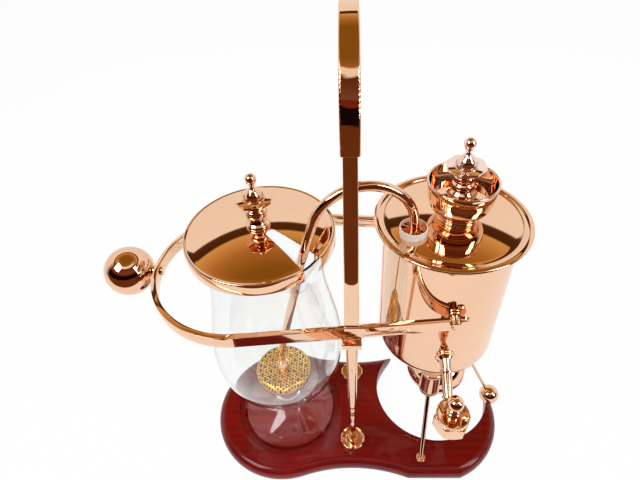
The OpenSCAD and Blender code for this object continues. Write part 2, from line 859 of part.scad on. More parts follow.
// The whole route of the siphon, as a round bar of one diameter
module siphon_route(d, extra) {
    translate([stopper_x, stopper_y, tube_low - extra])
        cylinder(h = bend_z - tube_low + extra, d = d);
    translate([stopper_x, stopper_y, 0])
        rotate([0, 0, bend_at]) {
            translate([bend_r, 0, bend_z])
                rotate([90, 0, 0])
                    rotate([0, 0, fall_angle])
                        rotate_extrude(angle = 180 - fall_angle)
                            translate([bend_r, 0])
                                circle(d = d, $fn = 32);
            rod([fall_s, 0, fall_z], [kink_s, 0, kink_z], d, d);
        }
    translate(kink)
        sphere(d = d + 0.02, $fn = 32);
    rod(kink, drop_top, d, d);
    translate(drop_top)
        sphere(d = d + 0.02, $fn = 32);
    translate([-glass_x, 0, filter_z - 5 - extra])
        cylinder(h = drop_top[2] - filter_z + 5 + extra, d = d);
}

module siphon_tube() color(brass_rose) {
    difference() {
        siphon_route(tube_d, 0);
        siphon_route(tube_d - 2 * tube_wall, eps);
    }
}

module siphon_stopper() color("#F4F4F2") {
    translate([stopper_x, stopper_y, stopper_z])
        difference() {
            union() {
                cylinder(h = stopper_h, r1 = stopper_r - 0.2, r2 = stopper_r);
                translate([0, 0, -9])
                    cylinder(h = 9, r1 = stopper_r - 2.6, r2 = stopper_r - 2.1);
            }
            translate([0, 0, -10])
                cylinder(h = 30, d = tube_d);
            translate([0, 0, stopper_h - 1])
                cylinder(h = 2, r = stopper_r - 0.9);
        }
}

module stopper_cap() color(rose_dark) {
    translate([stopper_x, stopper_y, stopper_z + stopper_h - 1])
        difference() {
            cylinder(h = 1.2, r = stopper_r - 0.9);
            translate([0, 0, -eps])
                cylinder(h = 3, d = tube_d);
        }
}

module filter_hub() color(rose_dark) {
    translate([-glass_x, 0, hub_low])
        difference() {
            union() {
                cylinder(h = 5, d = 13, $fn = 6);
                translate([0, 0, 5])
                    cylinder(h = 3, d1 = 11, d2 = 9);
            }
            translate([0, 0, -eps])
                cylinder(h = 10, d = tube_d);
        }
}

// Rings of holes, each with six more than the ring inside it
module ring_holes(low, tall) {
    for (ring = [1:4])
        for (k = [1:6 * ring])
            rotate([0, 0, 60 / ring * k + 15 * ring])
                translate([tube_d / 2 + 0.6 + filter_pitch * ring, 0, low])
                    cylinder(h = tall, d = filter_hole_d, $fn = 16);
}

module filter_dome() color("#D9A441") {
    translate([-glass_x, 0, filter_z])
        difference() {
            rotate_extrude()
                difference() {
                    filter_outline(filter_r, filter_crown);
                    translate([0, -1])
                        filter_outline(filter_r - 1, filter_crown);
                    square([tube_d / 2, filter_crown + eps]);
                }
            ring_holes(filter_crown - 2, 3);
        }
}

// Half outline of the filter: flat in the middle, then a quarter round down to its rim
module filter_outline(r, h) {
    square([r - h * 0.6, h]);
    polygon([[0, 0], [r, 0], [r, h * 0.3], [r - h * 0.25, h * 0.75], [r - h * 0.6, h]]);
}

module filter_plate() color(brass_rose) {
    translate([-glass_x, 0, filter_z - 3])
        difference() {
            union() {
                cylinder(h = 3, r = filter_r);
                translate([0, 0, -2.5])
                    cylinder(h = 2.5, d = 11, $fn = 6);
            }
            translate([0, 0, 1.2])
                cylinder(h = 3, r = filter_r - 1.2);
            translate([0, 0, -4])
                cylinder(h = 8, d = tube_d);
            ring_holes(-eps, 3);
        }
}

// Turns a shape drawn about +Z so that it stands out of the boiler's front at the tap
module at_tap() {
    translate([boiler_x, 0, tap_z])
        rotate([90, 0, 0])
            children();
}

module tap_rosette() color(rose_dark) {
    difference() {
        at_tap()
            difference() {
                union() {
                    cylinder(h = boiler_r + 1.6, r = 7.3);
                    translate([0, 0, boiler_r + 1.6])
                        cylinder(h = 2.2, r1 = 6.2, r2 = 4.6);
                }
                cylinder(h = 2 * boiler_r, r = 2);
                for (k = [0:7])
                    rotate([0, 0, 45 * k])
                        translate([7.9, 0, 0])
                            cylinder(h = 2 * boiler_r, r = 1.3, $fn = 24);
            }
        translate([boiler_x, 0, boiler_low])
            cylinder(h = boiler_h, r = boiler_r, $fn = 128);
    }
}

// The pipe falls from the rosette to the valve body
module tap_pipe() color(brass_rose) {
    start = [boiler_x, -boiler_r - 3.8, tap_z];
    finish = [boiler_x, tap_y + valve_w / 2, valve_z];
    along = (finish - start) / norm(finish - start);
    difference() {
        union() {
            rod(start - along * 5, finish + along * 5, 8.4, 6.4);
            rod(start + along * 5.4, start + along * 7, 9.4, 9.4);
            rod(finish - along * 7, finish - along * 5.4, 8.6, 8.6);
        }
        rod(start - along * 9, finish + along * 9, 4, 4);
        translate([boiler_x - 20, start[1], valve_z - 20])
            cube([40, 20, 60]);
        translate([boiler_x - 20, finish[1] - 20, valve_z - 40])
            cube([40, 20, 60]);
    }
}

// The hexagonal valve body with its outlet below
module tap_valve() color(brass_rose) {
    translate([boiler_x, tap_y, valve_low])
        difference() {
            union() {
                intersection() {
                    cylinder(h = valve_h, r = valve_w / 2 / cos(30), $fn = 6);
                    cylinder(h = valve_h, r1 = valve_w / 2 - 0.6, r2 = valve_w / 2 + valve_h - 0.6);
                }
                translate([0, 0, -3])
                    cylinder(h = 3, r1 = 5.4, r2 = 7.6);
                translate([0, 0, -8])
                    cylinder(h = 5.5, r = 4.2);
            }
            translate([0, 0, 2])
                cylinder(h = valve_h, r = key_r + pin_fit);
            translate([0, 0, -9])
                cylinder(h = 14, r = 1.9);
            translate([0, 0, valve_h / 2])
                rotate([-90, 0, 0])
                    cylinder(h = valve_w, r = 2);
        }
}

// A knurled ring with a dished top that keeps the turning plug in
module tap_gland() color(rose_dark) {
    grooves = 36;
    ring_r = valve_w / 2 + 0.3;
    translate([boiler_x, tap_y, valve_top])
        difference() {
            cylinder(h = gland_h, r = ring_r);
            for (k = [0:grooves - 1])
                rotate([0, 0, 360 / grooves * k])
                    translate([ring_r + 0.25, 0, -eps])
                        cylinder(h = gland_h - 0.4, r = 0.6, $fn = 16);
            translate([0, 0, gland_h + 22])
                sphere(r = 24.4);
            translate([0, 0, -eps])
                cylinder(h = gland_h + 1, r = key_r - 1.4 + pin_fit);
        }
}

// The turning plug, with the passage that lines up with the pipe after a quarter turn
module tap_key() color(rose_dark) {
    translate([boiler_x, tap_y, 0])
        difference() {
            union() {
                translate([0, 0, valve_low + 2.3])
                    cylinder(h = valve_h - 2.6, r = key_r);
                translate([0, 0, valve_top - 0.3])
                    cylinder(h = gland_h + 0.6, r = key_r - 1.4);
            }
            translate([0, 0, valve_z])
                rotate([0, 90, 0])
                    cylinder(h = key_r + eps, r = 2);
            translate([0, 0, valve_low])
                cylinder(h = valve_h / 2, r = 1.9);
        }
}

module tap_knob() color(brass_rose) {
    low = gland_top + 0.3;
    translate([boiler_x, tap_y, low])
        rotate_extrude()
            intersection() {
                union() {
                    polygon([
                        [0, 0], [4.2, 0], [5, 1], [4.4, 2.2], [3.2, 3], [4.3, 4.4], [4.3, 5.6],
                        [3, 6.6], [2.6, 9], [0, 12]]);
                    translate([0, 7 + tap_ball_d / 2])
                        circle(d = tap_ball_d);
                }
                square([20, 20]);
            }
}

// Turns a shape drawn with +X toward the snuffer's ball into the burner's place
module at_burner() {
    translate([burner_x, burner_back, 0])
        rotate([0, 0, snuffer_at])
            children();
}

// Half outline of the fuel bowl: a flat top and underside with a half-round side
module bowl_outline(r) {
    translate([0, -r])
        square([bowl_flat, 2 * r]);
    intersection() {
        translate([bowl_flat, 0])
            circle(r);
        translate([bowl_flat, -r])
            square([r, 2 * r]);
    }
}

module burner_bowl() color(brass_rose) {
    translate([burner_x, burner_back, bowl_mid])
        rotate_extrude()
            difference() {
                bowl_outline(bowl_r);
                bowl_outline(bowl_r - 1.2);
                translate([0, bowl_r - 2])
                    square([wick_r + 1.5, 4]);
            }
}

module burner_collar() color(rose_dark) {
    translate([burner_x, burner_back, 0])
        rotate_extrude()
            difference() {
                union() {
                    translate([0, bowl_top])
                        square([collar_r - 1.2, collar_h]);
                    translate([0, bowl_top])
                        square([bowl_flat, 2]);
                    translate([0, bowl_top + 2])
                        square([collar_r, 2.4]);
                    translate([0, collar_top - 9])
                        square([collar_r, 9]);
                    translate([0, bowl_top - 3])
                        square([wick_r + 1.5, 4]);
                    translate([0, collar_top])
                        square([wick_r + 1.5, tube_top - collar_top]);
                }
                translate([0, bowl_top - 4])
                    square([wick_r, tube_top - bowl_top + 5]);
                translate([collar_r - 1.2, bowl_top - eps])
                    square([2, 2.5]);
            }
}

module burner_wick() color("#EFE6D2") {
    translate([burner_x, burner_back, bowl_z + 4])
        cylinder(h = wick_top - bowl_z - 4, r = wick_r);
}

// A turned sleeve that stands in front of the bowl on the arm
module burner_sleeve() color(brass_rose) {
    translate(sleeve)
        rotate_extrude()
            difference() {
                union() {
                    square([sleeve_r - 0.8, sleeve_h]);
                    translate([0, 1])
                        square([sleeve_r, sleeve_h - 3]);
                    translate([sleeve_r - 0.8, sleeve_h - 1])
                        circle(0.8, $fn = 24);
                }
                translate([0, sleeve_h - 4])
                    square([sleeve_r - 2, 6]);
            }
}

// The bar between the sleeve and the collar
module burner_bracket() color(rose_dark) {
    reach = norm([burner_x - sleeve[0], burner_back - sleeve[1]]);
    bar_z = collar_top - 9;
    difference() {
        translate([sleeve[0], sleeve[1], bar_z])
            rotate([0, 0, atan2(burner_back - sleeve[1], burner_x - sleeve[0])])
                translate([0, -4, 0])
                    cube([reach, 8, 3]);
        translate([sleeve[0], sleeve[1], bar_z - eps])
            cylinder(h = 4, r = sleeve_r);
        translate([burner_x, burner_back, bar_z - eps])
            cylinder(h = 4, r = collar_r);
    }
}

module burner_arm() color(brass_rose) {
    translate(arm_foot - [0, 0, 8])
        cylinder(h = 10.6, d = arm_d);
    translate(arm_foot + [0, 0, 2.6])
        sphere(d = arm_d);
    difference() {
        rod(arm_foot + [0, 0, 2.6], sleeve + [0, 0, 3], arm_d, arm_d);
        translate(sleeve)
            cylinder(h = sleeve_h, r = sleeve_r + 2);
    }
}

// The ring on the wood round the arm
module arm_ferrule() color(rose_dark) {
    translate(arm_foot)
        difference() {
            cylinder(h = 2, r1 = arm_d / 2 + 2.6, r2 = arm_d / 2 + 2.2);
            translate([0, 0, -eps])
                cylinder(h = 4, d = arm_d + 0.1);
        }
}

// Two cheeks that stand out from the collar and carry the snuffer's pin
module snuffer_fork() color(rose_dark) {
    at_burner()
        for (side = [-1, 1])
            difference() {
                union() {
                    translate([0, side * 3.9 - 0.8, hinge_z - 2.4])
                        cube([hinge_out, 1.6, 4.8]);
                    translate([hinge_out, side * 3.9 + 0.8, hinge_z])
                        rotate([90, 0, 0])
                            cylinder(h = 1.6, r = 2.4);
                }
                translate([0, 0, hinge_z - 10])
                    cylinder(h = 20, r = collar_r);
                translate([hinge_out, 6, hinge_z])
                    rotate([90, 0, 0])
                        cylinder(h = 12, r = pin_r);
            }
}

module snuffer_pin() color(brass_rose) {
    at_burner()
        translate([hinge_out, 5.4, hinge_z])
            rotate([90, 0, 0])
                cylinder(h = 10.8, r = pin_r);
}

// Places a shape drawn about the hinge
module at_hinge() {
    at_burner()
        translate([hinge_out, 0, hinge_z])
            children();
}

// The lever: a knuckle on the pin, a long arm to the ball and a short arm to the cap
module snuffer_lever() color(brass_rose) {
    grip = [cap_r - hinge_out, 0, collar_top - hinge_z + cap_h / 2 + 1];
    at_hinge()
        difference() {
            union() {
                rotate([90, 0, 0])
                    translate([0, 0, -2.8])
                        cylinder(h = 5.6, r = 2.6);
                rod([0, 0, 0], [ball_out, 0, -ball_drop] * 0.93, lever_d, lever_d);
                rotate([0, open_angle, 0])
                    difference() {
                        rod([0, 0, 0], grip - [2, 0, 0], lever_d, lever_d);
                        translate([-hinge_out, 0, 0])
                            cylinder(h = 30, r = cap_r);
                    }
            }
            rotate([90, 0, 0])
                translate([0, 0, -6])
                    cylinder(h = 12, r = pin_r + pin_fit);
        }
}

module snuffer_cap() color(brass_rose) {
    at_hinge()
        rotate([0, open_angle, 0])
            translate([-hinge_out, 0, collar_top - hinge_z + 0.5])
                difference() {
                    cylinder(h = cap_h, r = cap_r);
                    translate([0, 0, -eps])
                        cylinder(h = cap_h + eps - 1, r = cap_r - 1);
                }
}

module snuffer_ball() color(brass_rose) {
    at_hinge()
        difference() {
            translate([ball_out, 0, -ball_drop])
                sphere(snuffer_ball_r);
            rod([0, 0, 0], [ball_out, 0, -ball_drop] * 0.93, lever_d, lever_d);
        }
}

base();
foot_front();
foot_back();
leg_front();
leg_back();
leg_nuts();
yoke_front();
yoke_back();
pivot_pins();
upright_front();
upright_back();
arch_handle();
beam();
weight_stud();
weight_ball();
glass_vessel();
glass_lid();
lid_knob_stem();
lid_knob_plate();
lid_knob_ball();
boiler_shell();
boiler_cover();
trunnion_front();
trunnion_back();
filler_cup();
plug_seal();
plug_knob_stem();
plug_knob_plate();
plug_knob_ball();
siphon_tube();
siphon_stopper();
stopper_cap();
filter_hub();
filter_dome();
filter_plate();
tap_rosette();
tap_pipe();
tap_valve();
tap_gland();
tap_key();
tap_knob();
burner_bowl();
burner_collar();
burner_wick();
burner_sleeve();
burner_bracket();
burner_arm();
arm_ferrule();
snuffer_fork();
snuffer_pin();
snuffer_lever();
snuffer_cap();
snuffer_ball();
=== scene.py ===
"""Dresses the balance siphon coffee maker: detailed pieces, finishes, soft studio light and camera.

The maker's lengths are in millimetres in the object's own frame: the origin is on the table midway
between the two posts, +X points to the boiler and +Z points up. The MM factor turns them to metres,
which is what the studio's lengths are in.
"""
from __future__ import annotations

import logging
import math
from dataclasses import dataclass, field
from enum import Enum
from typing import Sequence

import bpy
from mathutils import Matrix, Vector

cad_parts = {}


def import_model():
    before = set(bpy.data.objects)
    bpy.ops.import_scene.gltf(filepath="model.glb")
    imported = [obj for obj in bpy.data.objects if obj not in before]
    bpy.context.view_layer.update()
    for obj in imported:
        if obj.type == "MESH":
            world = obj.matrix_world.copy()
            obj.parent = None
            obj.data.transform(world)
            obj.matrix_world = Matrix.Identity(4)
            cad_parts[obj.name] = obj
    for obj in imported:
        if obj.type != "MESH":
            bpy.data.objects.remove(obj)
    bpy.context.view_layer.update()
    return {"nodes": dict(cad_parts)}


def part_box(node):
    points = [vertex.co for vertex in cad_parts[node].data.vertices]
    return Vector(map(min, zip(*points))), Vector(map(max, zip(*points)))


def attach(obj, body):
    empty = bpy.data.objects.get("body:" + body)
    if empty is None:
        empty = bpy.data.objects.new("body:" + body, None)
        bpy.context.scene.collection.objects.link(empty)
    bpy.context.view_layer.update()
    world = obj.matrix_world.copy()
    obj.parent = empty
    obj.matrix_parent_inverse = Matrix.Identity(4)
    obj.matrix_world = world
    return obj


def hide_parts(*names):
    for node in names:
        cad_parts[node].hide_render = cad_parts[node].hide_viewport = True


LOG = logging.getLogger("siphon")
MM = 0.001
WELD = 2e-6  # points closer than this, in metres, are one point
WAVE_PITCH = 0.32  # a wave texture of scale 1 repeats after this length, in metres
WHITE = (1.0, 1.0, 1.0, 1.0)
Point = tuple[float, float]
Place = tuple[float, float, float]
Profile = tuple[Point, ...]
Material, Piece = bpy.types.Material, bpy.types.Object
Node, Socket, Tree = bpy.types.Node, bpy.types.NodeSocket, bpy.types.NodeTree
NODES: dict[str, Piece] = {}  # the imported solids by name, once main() has loaded them


# ---------------------------------------------------------------- colour and shader helpers


def srgb(code: str) -> tuple[float, float, float, float]:
    """Turns an sRGB hex colour to the linear colour that a shader takes.

    Args:
        code: the colour as six hex digits with a leading hash.

    Returns:
        The linear red, green, blue and an alpha of one.
    """
    channels = []
    for start in (1, 3, 5):
        value = int(code[start : start + 2], 16) / 255
        channels.append(value / 12.92 if value <= 0.04045 else ((value + 0.055) / 1.055) ** 2.4)
    return (channels[0], channels[1], channels[2], 1.0)


def add_node(
    tree: Tree,
    kind: str,
    inputs: dict[str | int, object] | None = None,
    links: dict[str | int, Node | Socket] | None = None,
    **settings: object,
) -> Node:
    """Adds one node with its settings, values and incoming links.

    Args:
        tree: the node tree that gets the node.
        kind: the node's Blender type name, without the ShaderNode that it starts with.
        inputs: values by input name or number.
        links: what each input is linked from; a node stands for its first output.
        **settings: attributes of the node itself.

    Returns:
        The new node.
    """
    node = tree.nodes.new("ShaderNode" + kind)
    for name, value in settings.items():
        setattr(node, name, value)
    for key, value in (inputs or {}).items():
        node.inputs[key].default_value = value
    for key, source in (links or {}).items():
        socket = source.outputs[0] if isinstance(source, Node) else source
        tree.links.new(socket, node.inputs[key])
    return node


def new_material(name: str) -> tuple[Material, Tree]:
    """Makes an empty node material and returns it with its tree."""
    material = bpy.data.materials.new(name)
    material.use_nodes = True
    material.node_tree.nodes.clear()
    return material, material.node_tree


def object_coordinates(tree: Tree, scale: Place = (1.0, 1.0, 1.0)) -> Node:
    """Returns a node that gives object coordinates, in metres times scale."""
    place = add_node(tree, "TexCoord").outputs["Object"]
    return add_node(tree, "Mapping", {"Scale": scale}, {"Vector": place})


# ---------------------------------------------------------------- finishes


class MetalTone(Enum):
    """The tones of plated metal on the maker, by sRGB hex value."""

    ROSE = "#F4CBAC"
    PINK = "#F9E2D8"
    COPPER = "#C4805F"
    ZINC = "#C9C9C6"


@dataclass(frozen=True)
class Finish:
    """What every finish shares: its material's name and how its nodes become a material."""

    name: str

    def build(self) -> Material:
        """Builds the material."""
        material, tree = new_material(self.name)
        add_node(tree, "OutputMaterial", links={"Surface": self.shade(tree)})
        return material

    def shade(self, tree: Tree) -> Node:
        """Adds the finish's nodes and returns its shader."""
        raise NotImplementedError


@dataclass(frozen=True)
class PolishedPlate(Finish):
    """Metal plating, mostly rose gold, over polished steel and brass: a mirror with faint hairlines.

    The colour lives in the reflection, so the base colour is the plating's tone and the roughness
    stays near a mirror's. Polishing haze is patches of 18 mm, and hairlines are 0.6 mm apart, which is
    coarser than real ones so that they show at all.
    """

    tone: MetalTone
    roughness: float = 0.02
    haze: float = 0.02
    haze_size: float = 18.0
    haze_tone: float = 0.93
    line_depth: float = 0.012
    line_pitch: float = 0.6

    def shade(self, tree: Tree) -> Node:
        """Adds a metal mirror that is a little rougher and darker in patches, with hairlines."""
        patches = add_node(
            tree,
            "TexNoise",
            {"Scale": 1 / (self.haze_size * MM), "Detail": 3.0, "Roughness": 0.55},
            {"Vector": object_coordinates(tree)},
        )
        dull = self.roughness + self.haze
        roughness = add_node(
            tree,
            "MapRange",
            {"From Min": 0.3, "From Max": 0.75, "To Min": self.roughness, "To Max": dull},
            {"Value": patches},
        )
        lines = add_node(
            tree,
            "TexNoise",
            {"Scale": 1 / (self.line_pitch * MM), "Detail": 1.0},
            {"Vector": object_coordinates(tree, (0.12, 0.12, 1.0))},
        )
        depth = {"Strength": self.line_depth, "Distance": 0.05 * MM}
        bump = add_node(tree, "Bump", depth, {"Height": lines})
        clear = srgb(self.tone.value)
        hazy = tuple(self.haze_tone * c for c in clear[:3]) + (1.0,)
        colour = add_node(tree, "Mix", {6: clear, 7: hazy}, {0: patches}, data_type="RGBA").outputs[2]
        return add_node(
            tree,
            "BsdfPrincipled",
            {"Metallic": 1.0},
            {"Base Color": colour, "Roughness": roughness, "Normal": bump},
        )


@dataclass(frozen=True)
class PerforatedSheet(Finish):
    """Gold-plated brass sheet, etched through with round holes in staggered rows.

    The holes are 3 mm apart, coarser than real ones so that they show, and they are painted dark:
    that darkness is painted shade of the space under the sheet.
    """

    name: str = "gold_plated_perforated_sheet"
    gold: str = "#E2B056"
    # the colour painted in each hole: painted shade of the space under the sheet
    hole_shade: str = "#3A2208"
    pitch: float = 3.0

    def shade(self, tree: Tree) -> Node:
        """Adds gold with a hole painted dark, as painted shade, wherever three sets of waves meet at their
        crests.
        """
        place = object_coordinates(tree)
        turns = 2 * math.pi / (self.pitch * math.sin(math.pi / 3) * MM)
        total = None
        for angle in (0.0, 60.0, 120.0):
            way = (turns * math.cos(math.radians(angle)), turns * math.sin(math.radians(angle)), 0.0)
            along = add_node(tree, "VectorMath", {1: way}, {0: place}, operation="DOT_PRODUCT")
            wave = add_node(tree, "Math", links={0: along.outputs["Value"]}, operation="COSINE")
            total = add_node(tree, "Math", links={0: total, 1: wave}, operation="ADD") if total else wave
        mask = add_node(tree, "MapRange", {"From Min": 0.5, "From Max": 1.0}, {"Value": total})
        # gold, with painted shade where the holes are
        tones = {6: srgb(self.gold), 7: srgb(self.hole_shade)}
        colour = add_node(tree, "Mix", tones, {0: mask}, data_type="RGBA").outputs[2]
        sink = add_node(tree, "Bump", {"Strength": 0.4, "Distance": 0.3 * MM}, {"Height": mask}, invert=True)
        satin = {"Metallic": 1.0, "Roughness": 0.3}
        return add_node(tree, "BsdfPrincipled", satin, {"Base Color": colour, "Normal": sink})


@dataclass(frozen=True)
class LacqueredWood(Finish):
    """Close-grained hardwood, stained cherry red and sprayed with gloss lacquer.

    The stain is darker in the pores, the grain runs along X with growth rings 8 mm apart, and the
    lacquer is a smooth clear coat, so the highlights are sharp while the colour stays deep.
    """

    name: str = "lacquered_cherry_stained_wood"
    light: str = "#7C0305"
    dark: str = "#540103"
    pore: str = "#360203"
    sway_size: float = 60.0
    ring_pitch: float = 8.0
    pore_length: float = 9.0
    pore_width: float = 0.5

    def shade(self, tree: Tree) -> Node:
        """Adds swaying growth rings and long pores under a clear coat."""
        sway = add_node(
            tree,
            "TexNoise",
            {"Scale": 1 / (self.sway_size * MM), "Detail": 2.0},
            {"Vector": object_coordinates(tree, (0.4, 1.0, 1.0))},
        )
        rings = add_node(
            tree,
            "TexWave",
            {
                "Scale": WAVE_PITCH / (self.ring_pitch * MM),
                "Distortion": 5.0,
                "Detail": 3.0,
                "Detail Scale": 1.2,
                "Detail Roughness": 0.6,
            },
            {"Vector": object_coordinates(tree, (0.18, 1.0, 1.0))},
            bands_direction="Y",
        )
        pores = add_node(
            tree,
            "TexNoise",
            {"Scale": 1 / (self.pore_width * MM), "Detail": 2.0},
            {"Vector": object_coordinates(tree, (self.pore_width / self.pore_length, 1.0, 1.0))},
        )
        blend = add_node(
            tree, "Math", {1: 0.25}, {0: rings.outputs["Fac"], 2: sway}, operation="MULTIPLY_ADD"
        )
        level = add_node(tree, "MapRange", {"From Min": 0.3, "From Max": 1.0}, {"Value": blend})
        tones = {6: srgb(self.light), 7: srgb(self.dark)}
        stain = add_node(tree, "Mix", tones, {0: level}, data_type="RGBA").outputs[2]
        pore_mask = add_node(
            tree, "MapRange", {"From Min": 0.6, "From Max": 0.75, "To Max": 0.35}, {"Value": pores}
        )
        colour = add_node(
            tree, "Mix", {7: srgb(self.pore)}, {0: pore_mask, 6: stain}, data_type="RGBA"
        ).outputs[2]
        bump = add_node(tree, "Bump", {"Strength": 0.05, "Distance": 0.1 * MM}, {"Height": pores})
        return add_node(
            tree,
            "BsdfPrincipled",
            {
                "Roughness": 0.35,
                "IOR": 1.5,
                "Specular IOR Level": 0.15,
                "Coat Weight": 0.5,
                "Coat Roughness": 0.04,
                "Coat IOR": 1.5,
            },
            {"Base Color": colour, "Normal": bump},
        )


@dataclass(frozen=True)
class BlownGlass(Finish):
    """Clear borosilicate glass, blown and fire-polished: smooth, with a very faint ripple 14 mm wide."""

    name: str = "clear_borosilicate_glass"
    tint: str = "#FAFCFC"
    ripple: float = 14.0

    def shade(self, tree: Tree) -> Node:
        """Adds clear glass with a rippled skin."""
        waves = add_node(
            tree,
            "TexNoise",
            {"Scale": 1 / (self.ripple * MM), "Detail": 1.0},
            {"Vector": object_coordinates(tree, (1.0, 1.0, 0.5))},
        )
        bump = add_node(tree, "Bump", {"Strength": 0.03, "Distance": 0.6 * MM}, {"Height": waves})
        return add_node(
            tree,
            "BsdfPrincipled",
            {"Base Color": srgb(self.tint), "Roughness": 0.0, "IOR": 1.473, "Transmission Weight": 1.0},
            {"Normal": bump},
        )


@dataclass(frozen=True)
class MouldedSilicone(Finish):
    """White silicone rubber from a satin mould: softly lit inside, with a fine grain 0.4 mm wide."""

    name: str = "white_silicone_rubber"
    colour: str = "#F3F2EE"
    shaded: str = "#E4E1DA"
    grain: float = 0.4

    def shade(self, tree: Tree) -> Node:
        """Adds a satin skin with light under it."""
        grain = add_node(
            tree,
            "TexNoise",
            {"Scale": 1 / (self.grain * MM), "Detail": 2.0},
            {"Vector": object_coordinates(tree)},
        )
        bump = add_node(tree, "Bump", {"Strength": 0.12, "Distance": 0.05 * MM}, {"Height": grain})
        tones = {6: srgb(self.colour), 7: srgb(self.shaded)}
        return add_node(
            tree,
            "BsdfPrincipled",
            {
                "Roughness": 0.42,
                "IOR": 1.41,
                "Subsurface Weight": 0.15,
                "Subsurface Radius": (1.2 * MM, 1.1 * MM, 1.0 * MM),
            },
            {
                "Base Color": add_node(tree, "Mix", tones, {0: grain}, data_type="RGBA").outputs[2],
                "Normal": bump,
            },
        )


@dataclass(frozen=True)
class WovenWick(Finish):
    """Undyed cotton wick: a braid of 0.9 mm strands, matt, with a fuzzy sheen."""

    name: str = "braided_cotton"
    light: str = "#F4EBD8"
    # painted shade in the gaps between the strands
    dark: str = "#CDBFA3"
    strand: float = 0.9

    def shade(self, tree: Tree) -> Node:
        """Adds slanting strands with gaps painted darker, as painted shade between the strands."""
        braid = add_node(
            tree,
            "TexWave",
            {"Scale": WAVE_PITCH / (self.strand * MM), "Distortion": 1.5},
            {"Vector": object_coordinates(tree)},
            wave_type="BANDS",
            bands_direction="DIAGONAL",
        ).outputs["Fac"]
        tones = {6: srgb(self.dark), 7: srgb(self.light)}
        colour = add_node(tree, "Mix", tones, {0: braid}, data_type="RGBA").outputs[2]
        bump = add_node(tree, "Bump", {"Strength": 0.8, "Distance": 0.3 * MM}, {"Height": braid})
        return add_node(
            tree,
            "BsdfPrincipled",
            {"Roughness": 0.9, "IOR": 1.5, "Sheen Weight": 0.4, "Sheen Roughness": 0.5},
            {"Base Color": colour, "Normal": bump},
        )


# each finish by the plain name that the sub-assemblies use, with the slot that it fills
FINISHES: dict[str, tuple[Finish, str]] = {
    "rose": (PolishedPlate("rose_gold_plate", MetalTone.ROSE), "rose_gold"),
    "pink": (PolishedPlate("pale_rose_gold_plate", MetalTone.PINK), "rose_gold"),
    "copper": (PolishedPlate("copper_mirror_disc", MetalTone.COPPER), "rose_gold"),
    "gold": (PerforatedSheet(), "gold_filter"),
    "zinc": (PolishedPlate("zinc_plated_steel", MetalTone.ZINC, roughness=0.3), "steel_nuts"),
    "wood": (LacqueredWood(), "lacquered_wood"),
    "glass": (BlownGlass(), "clear_glass"),
    "silicone": (MouldedSilicone(), "silicone"),
    "wick": (WovenWick(), "cotton_wick"),
}


@dataclass
class FinishRack:
    """Holds each finish's material once."""

    materials: dict[str, Material] = field(default_factory=dict)

    def fill(self) -> None:
        """Builds every material of the maker."""
        self.materials = {name: finish.build() for name, (finish, _) in FINISHES.items()}

    def coat(self, piece: Piece, finish: str) -> None:
        """Gives a piece one finish all over."""
        piece.data.materials.clear()
        piece.data.materials.append(self.materials[finish])


# ---------------------------------------------------------------- workshop


def deselect_all() -> None:
    """Leaves every object unselected and no edit mode open."""
    if bpy.context.object and bpy.context.object.mode != "OBJECT":
        bpy.ops.object.mode_set(mode="OBJECT")
    bpy.ops.object.select_all(action="DESELECT")


def make_active(piece: Piece) -> None:
    """Selects one object alone and makes it active."""
    deselect_all()
    piece.select_set(True)
    bpy.context.view_layer.objects.active = piece


def open_mesh(piece: Piece) -> None:
    """Opens an object in edit mode with its whole mesh selected."""
    make_active(piece)
    bpy.ops.object.mode_set(mode="EDIT")
    bpy.ops.mesh.select_all(action="SELECT")


def close_mesh() -> None:
    """Welds the open mesh, turns its faces outward and leaves edit mode."""
    bpy.ops.mesh.select_all(action="SELECT")
    bpy.ops.mesh.remove_doubles(threshold=WELD)
    bpy.ops.mesh.normals_make_consistent(inside=False)
    bpy.ops.object.mode_set(mode="OBJECT")


def apply_modifier(piece: Piece, kind: str, **settings: object) -> None:
    """Adds one modifier with its settings and applies it.

    Args:
        piece: the object that is changed.
        kind: the modifier's Blender type name.
        **settings: attributes of the modifier.
    """
    make_active(piece)
    modifier = piece.modifiers.new(kind.lower(), kind)
    for name, value in settings.items():
        setattr(modifier, name, value)
    bpy.ops.object.modifier_apply(modifier=modifier.name)


def smooth(piece: Piece, angle: float) -> None:
    """Shades a piece smooth except across edges sharper than the angle in degrees."""
    make_active(piece)
    bpy.ops.object.shade_smooth_by_angle(angle=math.radians(angle))


def settle(piece: Piece) -> None:
    """Writes an object's place, turn and scale into its mesh."""
    make_active(piece)
    bpy.ops.object.transform_apply(location=True, rotation=True, scale=True)


def draw_chain(name: str, points: Sequence[Vector]) -> Piece:
    """Draws a chain of edges by extruding one vertex from point to point.

    Args:
        name: the piece's name.
        points: the vertices' places in metres.

    Returns:
        The new object, left in edit mode.
    """
    deselect_all()
    bpy.ops.mesh.primitive_plane_add(size=MM)
    piece = bpy.context.object
    piece.name = name
    bpy.ops.object.mode_set(mode="EDIT")
    bpy.ops.mesh.select_all(action="SELECT")
    bpy.ops.mesh.merge(type="CENTER")
    bpy.ops.transform.translate(value=points[0])
    for here, there in zip(points, points[1:]):
        bpy.ops.mesh.extrude_region_move(TRANSFORM_OT_translate={"value": there - here})
    return piece


